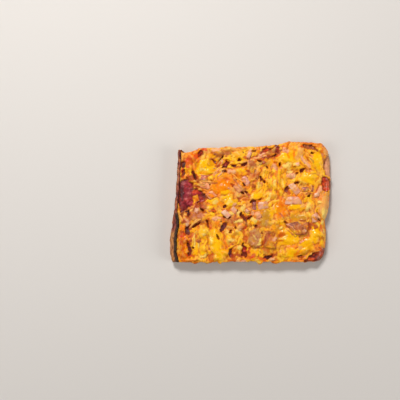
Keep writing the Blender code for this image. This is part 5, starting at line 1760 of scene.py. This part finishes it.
@dataclass
class Toppings:
    """Melted strands, ham crumbs and herb flecks that lie on the cheese, one piece for each kind."""

    cheese: Cheese
    loose_strands: int = 7
    crumbs: int = 14
    flecks: int = 10
    rings: int = 13
    area: tuple = ((-78.0, 81.0), (-58.0, 60.0))
    strand_lengths: tuple = (3.5, 8.0)
    strand_widths: tuple = (1.4, 2.4)
    end_drop: float = 0.35

    def scatter(self, count: int, seed: int, gap: float) -> tuple:
        """Seeded places where the cheese is whole, clear of the slice's sides.

        Returns:
            x and y of the places, and the random generator for what follows.
        """
        draws = seeded(seed)
        x, y = (draws.uniform(*ends, count * 3) for ends in self.area)
        inside = np.minimum(np.minimum(y - PLAN.near(x), PLAN.far(x) - y), PLAN.right(y) - x)
        inside = np.minimum(inside, x - PLAN.inside_wall(y))
        whole = self.cheese.raster.read(np.minimum(self.cheese.gaps, self.cheese.cracks), x, y)
        good = np.flatnonzero((inside > gap) & (whole > 0.95))[:count]
        return x[good], y[good], draws

    def lay(self, x: Array, y: Array, sizes: tuple, bend: Array, lift: float) -> Array:
        """Paths (pieces, rings, 3) that follow the cheese, bent in plan, with their ends let in."""
        length, turn = sizes
        t = np.linspace(-1.0, 1.0, self.rings)
        run, side = 0.5 * length[:, None] * t, 0.5 * (length * bend)[:, None] * (t**2 - 0.4)
        cos, sin = np.cos(turn)[:, None], np.sin(turn)[:, None]
        px, py = x[:, None] + run * cos - side * sin, y[:, None] + run * sin + side * cos
        pz = self.cheese.surface(px, py)
        for _ in range(2):
            pz[:, 1:-1] = (pz[:, :-2] + 2 * pz[:, 1:-1] + pz[:, 2:]) / 4
        return np.stack([px, py, pz + lift - self.end_drop * t**4], axis=2)

    def piece(self, name: str, paths: Array, shape: tuple, colour: Array, look: tuple) -> None:
        """Makes one joined piece of flattened tubes, each with its own colour and a mottle."""
        wetness, finish, slot = look
        points, faces = tubes(paths, *shape)
        mottle = noise(points[..., 0], points[..., 1], 1.3, 95, 2)[..., None]
        tones = with_wetness(np.clip(colour[:, None] * (1.0 + 0.2 * mottle), 0, 1), wetness)
        hand_over(make_object(name, points.reshape(-1, 3), faces, tones.reshape(-1, 4)), finish, slot)

    def strands(self) -> None:
        """Strands in known places, and scattered ones in the colour of the cheese under them."""
        x, y, draws = self.scatter(self.loose_strands, 96, 3.0)
        found = len(x)
        own = self.cheese.raster.read(self.cheese.colour, x, y)
        paler = draws.uniform(0.0, 0.5, (found, 1))
        colour = lerp(own, Tone.PALE.rgb, paler) * draws.uniform(0.8, 1.1, (found, 1))
        length, width = (draws.uniform(*ends, found) for ends in (self.strand_lengths, self.strand_widths))
        turn, bend = draws.uniform(0.0, np.pi, found), draws.normal(0.0, 0.3, found)
        known = [(form, tone.rgb) for tone, spots in PLACED for form in ovals(spots)]
        forms = np.array([form for form, _ in known])
        fixed = (*forms[:, :4].T, np.radians(forms[:, 4]))
        x, y, length, width, turn = map(np.append, (x, y, length, width, turn), fixed)
        bend = np.append(bend, draws.normal(0.0, 0.12, len(known)))
        under = self.cheese.raster.read(self.cheese.colour, *fixed[:2])
        colour = np.concatenate([colour, lerp(under, np.array([tone for _, tone in known]), 0.55)])
        paths = self.lay(x, y, (length, turn), bend, 0.05)
        self.piece("cheese_strands", paths, (width, 0.42, 0.85), colour, (0.5, CHEESE_FINISH, "cheese"))

    def bits(self, name: str, count: int, seed: int, sizes: tuple, tones: tuple, look: tuple) -> None:
        """Short scattered pieces: crumbs or flecks.

        Args:
            name: the piece's name.
            count: the most pieces that there may be.
            seed: number of the random draws.
            sizes: range of lengths, range of widths over lengths, lift, and height over width.
            tones: linear colours to choose from.
            look: wetness, finish and slot.
        """
        lengths, slimness, lift, flatness = sizes
        x, y, draws = self.scatter(count, seed, 1.5)
        found = len(x)
        length = draws.uniform(*lengths, found)
        width = length * draws.uniform(*slimness, found)
        colour = np.array(tones)[draws.integers(0, len(tones), found)]
        turn = draws.uniform(0.0, np.pi, found)
        paths = self.lay(x, y, (length, turn), draws.normal(0.0, 0.3, found), lift)
        self.piece(name, paths, (width, flatness, 0.5), colour, look)

    def build(self) -> None:
        """All three kinds."""
        self.strands()
        meat = tuple(look.face for look in (Cure.PEACH, Cure.ROSY, Cure.MAUVE, Cure.TOASTED, Cure.PALE))
        sizes = ((1.2, 3.0), (0.45, 0.9), 0.0, 0.5)
        self.bits("ham_crumbs", self.crumbs, 97, sizes, meat, (0.4, HAM_FINISH, "ham"))
        herbs = (Tone.HERB.rgb, Tone.SOOT.rgb, 0.5 * Tone.RUST.rgb)
        sizes = ((0.9, 2.2), (0.25, 0.5), 0.12, 0.3)
        self.bits("herb_flecks", self.flecks, 98, sizes, herbs, (0.0, HERB_FINISH, "crust"))


# ---- studio


@dataclass(frozen=True)
class Studio:
    """A pale floor, soft light from above and a camera that looks straight down."""

    lens: float = 85.0
    sensor: float = 36.0
    focus_height: float = 14.0
    floor_size: float = 8.0
    floor_gap: float = 0.15
    floor_colour: tuple = (0.66, 0.62, 0.58)
    world_colour: tuple = (1.0, 0.97, 0.93)
    world_strength: float = 0.14
    lamps: tuple = (
        ("key", (-0.3, 0.75, 0.95), 0.3, 13.0),
        ("left fill", (-1.0, -0.2, 0.9), 0.7, 4.4),
        ("right fill", (1.05, -0.3, 0.7), 0.7, 5.8),
    )

    def lamp(self, name: str, place: tuple, size: float, power: float) -> None:
        """A square area light that faces the slice."""
        data = bpy.data.lights.new(name, "AREA")
        data.shape = "SQUARE"
        data.size = size
        data.energy = power
        thing = bpy.data.objects.new(name, data)
        thing.location = place
        thing.rotation_euler = (-thing.location).to_track_quat("-Z", "Y").to_euler()
        bpy.context.scene.collection.objects.link(thing)

    def floor(self) -> None:
        """A plain floor under the slice, not part of it."""
        half = 0.5 * self.floor_size / MM
        signs = ((-1, -1), (1, -1), (1, 1), (-1, 1))
        corners = np.array([(half * across, half * away, -self.floor_gap) for across, away in signs])
        thing = make_object("floor", corners, [np.array([[0, 1, 2, 3]])], np.ones((4, 4)))
        made = bpy.data.materials.new("pale floor")
        made.use_nodes = True
        values = {"Base Color": (*self.floor_colour, 1.0), "Roughness": 0.9}
        feed(made.node_tree, made.node_tree.nodes["Principled BSDF"], values)
        thing.data.materials.append(made)
        thing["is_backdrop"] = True

    def build(self) -> None:
        """Makes the floor, the lights, the world and the camera."""
        scene = bpy.context.scene
        scene.view_settings.view_transform = "Standard"
        self.floor()
        for name, place, size, power in self.lamps:
            self.lamp(name, place, size, power)
        world = bpy.data.worlds.new("soft daylight")
        world.use_nodes = True
        values = {"Color": (*self.world_colour, 1.0), "Strength": self.world_strength}
        feed(world.node_tree, world.node_tree.nodes["Background"], values)
        scene.world = world
        data = bpy.data.cameras.new("from above")
        data.lens = self.lens
        data.sensor_width = self.sensor
        camera = bpy.data.objects.new("from above", data)
        width = VIEW_PIXELS * PIXEL
        camera.location = (
            (VIEW_CENTRE[0] - PIXEL_MIDDLE[0]) * PIXEL * MM,
            (PIXEL_MIDDLE[1] - VIEW_CENTRE[1]) * PIXEL * MM,
            (self.focus_height + width * self.lens / self.sensor) * MM,
        )
        scene.collection.objects.link(camera)
        scene.camera = camera
        log.info("studio: camera %.0f mm up", camera.location.z / MM)


def main() -> None:
    """Builds the slice from the table up."""
    logging.basicConfig(level=logging.INFO, format="%(name)s: %(message)s")
    Studio().build()
    raster = Raster()
    Crust(raster).build()
    Sauce(raster).build()
    hams = [
        HamPiece(f"ham_{number:02d}", look, cover, 200 + 11 * number)
        for number, (look, cover) in enumerate(HAM_LOOKS, start=1)
    ]
    cheese = Cheese(raster, hams)
    cheese.prepare()
    for ham in hams:
        ham.build(cheese)
    cheese.build()
    Toppings(cheese).build()
    boxes = {"cad": CAD_BOX, "scene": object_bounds()}
    {name: [list(corner) for corner in box] for name, box in boxes.items()}


if __name__ == "__main__":
    main()
